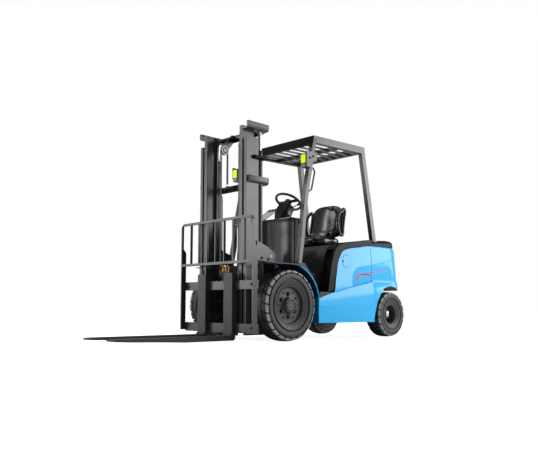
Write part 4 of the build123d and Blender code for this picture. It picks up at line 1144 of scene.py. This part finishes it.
for side, name in ((1, "guard_bolts"), (-1, "guard_bolts_right")):
    fixings(name, [(side * 574.6, y, z) for y, z in ((300, 1868), (350, 1890))], (side, 0, 0), 17, 9,
            black_steel, "chassis")
bm = bmesh.new()
for side in (1, -1):
    prism(bm, rounded_line([(side * 534, 140), (side * 556, 140), (side * 556, 236), (side * 480, 236),
                            (side * 480, 140), (side * 534, 140)], 8), 766.4, 776, "z")
    prism(bm, rounded_line([(side * 455, 1428), (side * 530, 1428), (side * 530, 1515), (side * 455, 1515),
                            (side * 455, 1428)], 10), 1040, 1094, "z")
part("guard_foot_plates", bm, guard_paint, "chassis", edge=2)

# Lamps: black moulded housings on the guard. The front ones hold a yellow-green signal lens over a
# grey reflector, and the rear ones a ribbed red lens that faces back.
lamp_black, tree, shader, place = surface("black_polycarbonate", "#121213", 0.3)
mottled(tree, shader, place, 300.0, 2.0, relief=(0.1, 0.001))


def ribbed(name, colour, roughness, scale, strength, metallic=0.0):
    """A new material with fine ribs across it."""
    material, tree, shader, place = surface(name, colour, roughness, metallic)
    ribs = add(tree, "ShaderNodeTexWave", [("Vector", place)], Scale=scale)
    bump = add(tree, "ShaderNodeBump", [("Height", ribs.outputs[0])], Strength=strength, Distance=0.001)
    tree.links.new(bump.outputs[0], shader.inputs["Normal"])
    return material


lens_green = ribbed("yellow_green_lens", "#c6f413", 0.12, 60.0, 0.2)
shader = lens_green.node_tree.nodes["Principled BSDF"]
shader.inputs["Emission Color"].default_value = srgb("#c6f413")
shader.inputs["Emission Strength"].default_value = 0.45
reflector = ribbed("grey_reflector", "#7c7e80", 0.22, 40.0, 0.25, metallic=0.5)
red_lens = ribbed("red_lens", "#a51218", 0.14, 60.0, 0.3)
# The rear legs lean forward from their feet to the roof.
leg_foot_y, leg_foot_z = 1502, 1056.3
leg_top_y, leg_top_z = 1330, 2128


def leg_y(z):
    """Where the rear leg stands at a height, in millimetres."""
    return leg_foot_y + (leg_top_y - leg_foot_y) * (z - leg_foot_z) / (leg_top_z - leg_foot_z)


def window(x0, x1, z0, z1, radius):
    """A closed outline of an upright window with rounded corners."""
    middle = (x0 + x1) / 2
    return rounded_line([(middle, z0), (x1, z0), (x1, z1), (x0, z1), (x0, z0), (middle, z0)], radius)[:-1]


housings, lenses, greys, reds, tails = (bmesh.new() for _ in range(5))
prism(housings, window(489, 567, 1764, 1908, 14), 252, 318, "y")
prism(housings, window(492, 564, 1768, 1906, 12), 246, 253, "y")
prism(lenses, window(497, 559, 1812, 1901, 12), 240.5, 247, "y")
prism(greys, window(500, 556, 1772, 1804, 8), 243, 247, "y")
for bm, name, material, replaced, edge in ((housings, "lamp_housings", lamp_black, ("head_lamps",), 3),
                                           (lenses, "signal_lenses", lens_green, ("lamp_lenses",), 2),
                                           (greys, "lamp_reflectors", reflector, (), 1)):
    both_sides(bm)
    part(name, bm, material, "chassis", edge=edge, replaced=replaced)
low_y = leg_y(1500)
high_y = leg_y(1640)
prism(tails, [(low_y, 1500), (low_y + 14, 1500), (high_y + 14, 1640), (high_y, 1640)], 462, 502, "x")
prism(reds, [(low_y + 13, 1506), (low_y + 21, 1508), (high_y + 21, 1632), (high_y + 13, 1634)], 466, 498, "x")
both_sides(tails)
both_sides(reds)
part("tail_lamp_housings", tails, lamp_black, "chassis", edge=2, replaced=("tail_lamps",))
part("tail_lamp_lenses", reds, red_lens, "chassis", edge=2)

# Outer mast: two rolled channels tied by cross plates and by a round-cornered beam behind.
# It hangs on the drive axle, and wears satin charcoal enamel that has rubbed off along its edges.
mast_paint, tree, shader, place = surface("charcoal_mast_enamel", "#222325", 0.38, coat=0.5,
                                          coat_roughness=0.26)
rounded = worn_edges(tree, shader, "#222325", "#77787a", 0.003, 0.6)
mottled(tree, shader, place, 6.0, 2.0, gloss=(0.36, 0.52))
mottled(tree, shader, place, 420.0, 3.0, relief=(0.03, 0.001), normal=rounded)
square_from = 1.2


def round_corners(bm, axes, test, radius):
    """Rounds the square corners of a beam: edges along the axes that pass the test."""
    chosen = []
    for edge in bm.edges:
        run = edge.verts[1].co - edge.verts[0].co
        if max(abs(run[along]) for along in axes) > 0.9 * run.length and len(edge.link_faces) == 2:
            middle = (edge.verts[0].co + edge.verts[1].co) * 500
            if edge.calc_face_angle(0) > square_from and test(middle.x, middle.y - axle_y, middle.z):
                chosen.append(edge)
    bmesh.ops.bevel(bm, geom=chosen, offset=radius / 1000, segments=6, profile=0.5, affect="EDGES")


# Each beam behind the channels: its node, its body and the level of its lower face.
beam_depth = 74
beam_round = 34
beam_chamfer = 0.026
channel_x = 379
for node, body, low in (("outer_mast", "mast", 1552), ("inner_mast", "inner_mast", 2096)):
    bm = copy_of(node)
    rear = max(v.co.y * 1000 - axle_y for v in bm.verts if low < v.co.z * 1000 + 1 < low + beam_depth)
    round_corners(bm, (2,), lambda x, y, z: low + 2 < z < low + 70 and abs(x) > channel_x
                  and y > rear - 3, beam_round)
    under = [e for e in bm.edges if all(abs(v.co.z * 1000 - low) < 1 for v in e.verts)
             and all(abs(v.co.x) > channel_x / 1000 or v.co.y * 1000 - axle_y > rear - 36 for v in e.verts)
             and len(e.link_faces) == 2 and e.calc_face_angle(0) > square_from]
    bmesh.ops.bevel(bm, geom=under, offset=beam_chamfer, segments=2, profile=0.5, affect="EDGES")
    part(f"{node}_welded", bm, mast_paint, body, replaced=(node,), sharp=30)
finish(mast_paint, "lift_barrels", "tilt_barrel_left", "tilt_barrel_right")
lift_cylinder_x, lift_cylinder_y = 324, -184
bm = bmesh.new()
for side in (1, -1):
    lathe(bm, [(1872, 20), (1872, 33), (1878, 34.5), (1892, 34.5), (1896, 31), (1896, 20)],
          (side * lift_cylinder_x, lift_cylinder_y, 0), (0, 0, 1), 32)
    lathe(bm, [(90, 31), (96, 34), (112, 34), (118, 31)], (side * lift_cylinder_x, lift_cylinder_y, 0),
          (0, 0, 1), 32)
part("cylinder_glands", bm, black_steel, "mast", sharp=30)
bm = bmesh.new()
for side in (1, -1):
    lathe(bm, [(-74, 0), (-74, 19), (96, 19), (102, 14), (102, 0)], (side * 372, -230, 1818), (0, 1, 0), 24)
part("clamp_bars", bm, cover_plastic, "mast")
for side, label in sides:
    fixings(f"gusset_bolts_{label}", [(side * 369, y, z) for y, z in ((-190, 815), (-100, 806))],
            (side, 0, 0), 19, 11, black_steel, "mast")
fixings("trunnion_bolts", [(x, -216, z) for x in (272, 300, 328, -272, -300, -328) for z in (240, 464)],
        (0, 1, 0), 17, 10, black_steel, "mast")

# Feed pipes: steel pipes in black rubber sleeves, across the mast's foot from one lift cylinder to
# the other, and up behind each to its head. Their ends are screwed into the barrels.
hose_rubber = ribbed("hose_rubber", "#151516", 0.5, 140.0, 0.12)
bm = bmesh.new()
for side in (1, -1):
    tube(bm, eased([(side * 306, -164, 120), (side * 304, -148, 90), (side * 240, -170, 84),
                    (side * 120, -200, 96), (0, -206, 110)]), 7)
    tube(bm, [(side * 302, -162, 124), (side * 291, -147, 140), (side * 290, -146, 600),
              (side * 290, -146, 1490), (side * 293, -150, 1516), (side * 306, -164, 1534)], 5)
part("feed_pipes", bm, hose_rubber, "mast")

# Chains: leaf chain, outer and inner plates on pins, from the carriage over a pulley to an anchor.
# The plates are oiled dark steel, one pitch each 19 mm.
chain_steel, tree, shader, place = surface("oiled_chain_steel", "#55565a", 0.34, metallic=1.0)
mottled(tree, shader, place, 90.0, 4.0, gloss=(0.22, 0.5))
chain_pitch = 19.05
plate_gap = 0.0046
plate_rise = 0.0045
chain_x = 142
front_run_y = -294
rear_run_y = -206
pulley_y = -250
pulley_z = 1976


def leaf_chain(name, top, foot_z, material):
    """A straight run of leaf chain grown by geometry nodes on a line of points."""
    seat, tree, given = growth(name, [], [("Pitch", "Float"), ("Links", "Int"), ("Plate", "Vector")])
    drop = add(tree, "ShaderNodeMath", [(0, given["Pitch"]), (1, -1.0)], operation="MULTIPLY")
    step = add(tree, "ShaderNodeCombineXYZ", [("Z", drop.outputs[0])])
    line = add(tree, "GeometryNodeMeshLine", [("Count", given["Links"]), ("Offset", step.outputs[0])])
    plate = add(tree, "GeometryNodeMeshCube", [("Size", given["Plate"])])
    whole = add(tree, "GeometryNodeJoinGeometry")
    for row in (-2, -1, 0, 1, 2):
        rise = plate_rise if row % 2 else -plate_rise
        moved = add(tree, "GeometryNodeTransform", [("Geometry", plate.outputs["Mesh"]),
                                                    ("Translation", (plate_gap * row, 0, rise))])
        tree.links.new(moved.outputs[0], whole.inputs[0])
    pin = add(tree, "GeometryNodeMeshCylinder", Vertices=8, Radius=0.003, Depth=0.0224)
    laid = add(tree, "GeometryNodeTransform", [("Geometry", pin.outputs["Mesh"])])
    laid.inputs["Rotation"].default_value = (0, math.pi / 2, 0)
    tree.links.new(laid.outputs[0], whole.inputs[0])
    placed = add(tree, "GeometryNodeInstanceOnPoints", [("Points", line.outputs["Mesh"]),
                                                        ("Instance", whole.outputs[0])])
    moved = add(tree, "GeometryNodeTransform", [("Geometry", placed.outputs[0]),
                                                ("Translation", point(*top))])
    grown(seat, tree, given, moved.outputs[0], Pitch=chain_pitch / 1000,
          Links=int((top[2] - foot_z) / chain_pitch), Plate=(0.0028, 0.0118, 0.0125), Finish=material)
    return seat


for side, label in sides:
    x = side * chain_x
    run = leaf_chain(f"lift_chain_{label}", (x, front_run_y, 1972), 408, chain_steel)
    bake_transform(run)
    if side < 0:
        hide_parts("lift_chains")
    run = leaf_chain(f"anchor_chain_{label}", (x, rear_run_y, 1972), 1600, chain_steel)
    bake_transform(run)
    if side < 0:
        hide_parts("anchor_chains")
bm = bmesh.new()
for side in (1, -1):
    hub = (side * chain_x, pulley_y, pulley_z)
    lathe(bm, [(-15, 12), (-15, 18), (-11, 20), (-11, 32), (-15, 34), (-15, 48), (-12, 50), (-11.2, 37.6),
               (11.2, 37.6), (12, 50), (15, 48), (15, 34), (11, 32), (11, 20), (15, 18), (15, 12)],
          hub, (1, 0, 0), 48)
    lathe(bm, [(-17, 0), (-17, 20), (17, 20), (17, 0)], hub, (1, 0, 0), 24)
part("chain_pulleys", bm, steel, "inner_mast")

# Carriage: two bars with a notched top edge between welded side plates, in the mast's enamel.
# The enamel has rubbed off along the edges that the forks slide over.
notch_count = 13
notch_pitch = 76
notch_half = 7.0
notch_depth = 8
bm = copy_of("carriage")
for i in range(notch_count):
    x = (i - notch_count // 2) * notch_pitch
    for offset in (-notch_half - 0.1, -notch_half + 0.1, notch_half - 0.1, notch_half + 0.1):
        cut_through(bm, (x + offset, 0, 0), (1, 0, 0), 1e-7)
    for vert in bm.verts:
        on_bar = vert.co.z * 1000 > 588.5 and vert.co.y * 1000 - axle_y < -400
        if abs(vert.co.x * 1000 - x) < notch_half and on_bar:
            vert.co.z -= notch_depth / 1000
part("carriage_welded", bm, mast_paint, "carriage", replaced=("carriage",), sharp=30)
bm = copy_of("load_backrest")
round_corners(bm, (1,), lambda x, y, z: abs(x) > 553 and z > 1200, 60)
part("load_backrest_welded", bm, mast_paint, "carriage", replaced=("load_backrest",), sharp=30)
fixings("backrest_bolts", [(x, -489, z) for x in (533, -533) for z in (140, 545)],
        (0, -1, 0), 18, 10, black_steel, "carriage")

# Valve block: a small steel manifold on a folded bracket behind the carriage's bars.
# Three brass couplings for an attachment stand on it, under black rubber caps.
brass, tree, shader, place = surface("machined_brass", "#c08a3a", 0.28, metallic=1.0)
mottled(tree, shader, place, 300.0, 2.0, gloss=(0.2, 0.36))
bm = bmesh.new()
prism(bm, [(-104, 560), (42, 560), (42, 656), (-104, 656)], -312, -300, "y")
prism(bm, [(-230, 566), (230, 566), (230, 582), (-230, 582)], -400, -388, "y")
prism(bm, [(-104, 570), (42, 570), (42, 582), (-104, 582)], -402, -300, "y")
part("valve_bracket", bm, mast_paint, "carriage", edge=2)
bm = bmesh.new()
prism(bm, [(-96, 654), (34, 654), (34, 690), (-96, 690)], -330, -284, "y")
part("valve_block", bm, black_steel, "carriage", edge=4)
couplings, caps = bmesh.new(), bmesh.new()
coupling_places = (-76, -31, 14)
for x in coupling_places:
    lathe(couplings, [(0, 0), (0, 11), (8, 11), (10, 15), (24, 15), (26, 11), (44, 11), (48, 8), (60, 8),
                      (62, 0)], (x, -307, 690), (0, 0, 1), 12)
    lathe(caps, [(56, 0), (56, 10), (76, 11), (80, 8), (80, 0)], (x, -307, 690), (0, 0, 1), 20)
part("brass_couplings", couplings, brass, "carriage")
part("coupling_caps", caps, hose_rubber, "carriage")

# Forks: forged steel blades in black enamel, scraped bright along their edges by pallets.
# Each hangs on the top bar and is held by a sprung pin.
fork_paint, tree, shader, place = surface("black_fork_enamel", "#232426", 0.46)
rounded = worn_edges(tree, shader, "#232426", "#85868a", 0.004, 0.9)
mottled(tree, shader, place, 26.0, 6.0, gloss=(0.36, 0.56), relief=(0.1, 0.002), normal=rounded)
finish(fork_paint, "fork_left", "fork_right")
for x, label in ((194, "left"), (-211, "right")):
    bm = bmesh.new()
    lathe(bm, [(0, 0), (0, 14), (14, 14), (16, 9), (30, 9), (32, 17), (40, 17), (42, 0)], (x, -460, 662),
          (0, 0, 1), 20)
    part(f"fork_pin_{label}", bm, black_steel, f"fork_{label}")

# Tilt cylinders: steel barrels in the mast's enamel, one to each side, from the chassis to the mast.
# Each ends in a screwed gland of blackened steel, where the chromed rod comes out.
tilt_anchor = Vector((308, 330, 530))
tilt_eye = Vector((308, -60, 840))
barrel_reach = 312
for side, label in sides:
    aim = (tilt_eye - tilt_anchor).normalized()
    tip = tilt_anchor + aim * barrel_reach
    tip.x *= side
    bm = bmesh.new()
    lathe(bm, [(0, 29), (2, 33.5), (22, 33.5), (27, 30), (27.5, 19), (0, 19)], tuple(tip), aim, 28)
    part(f"tilt_gland_{label}", bm, black_steel, f"tilt_barrel_{label}", sharp=30)
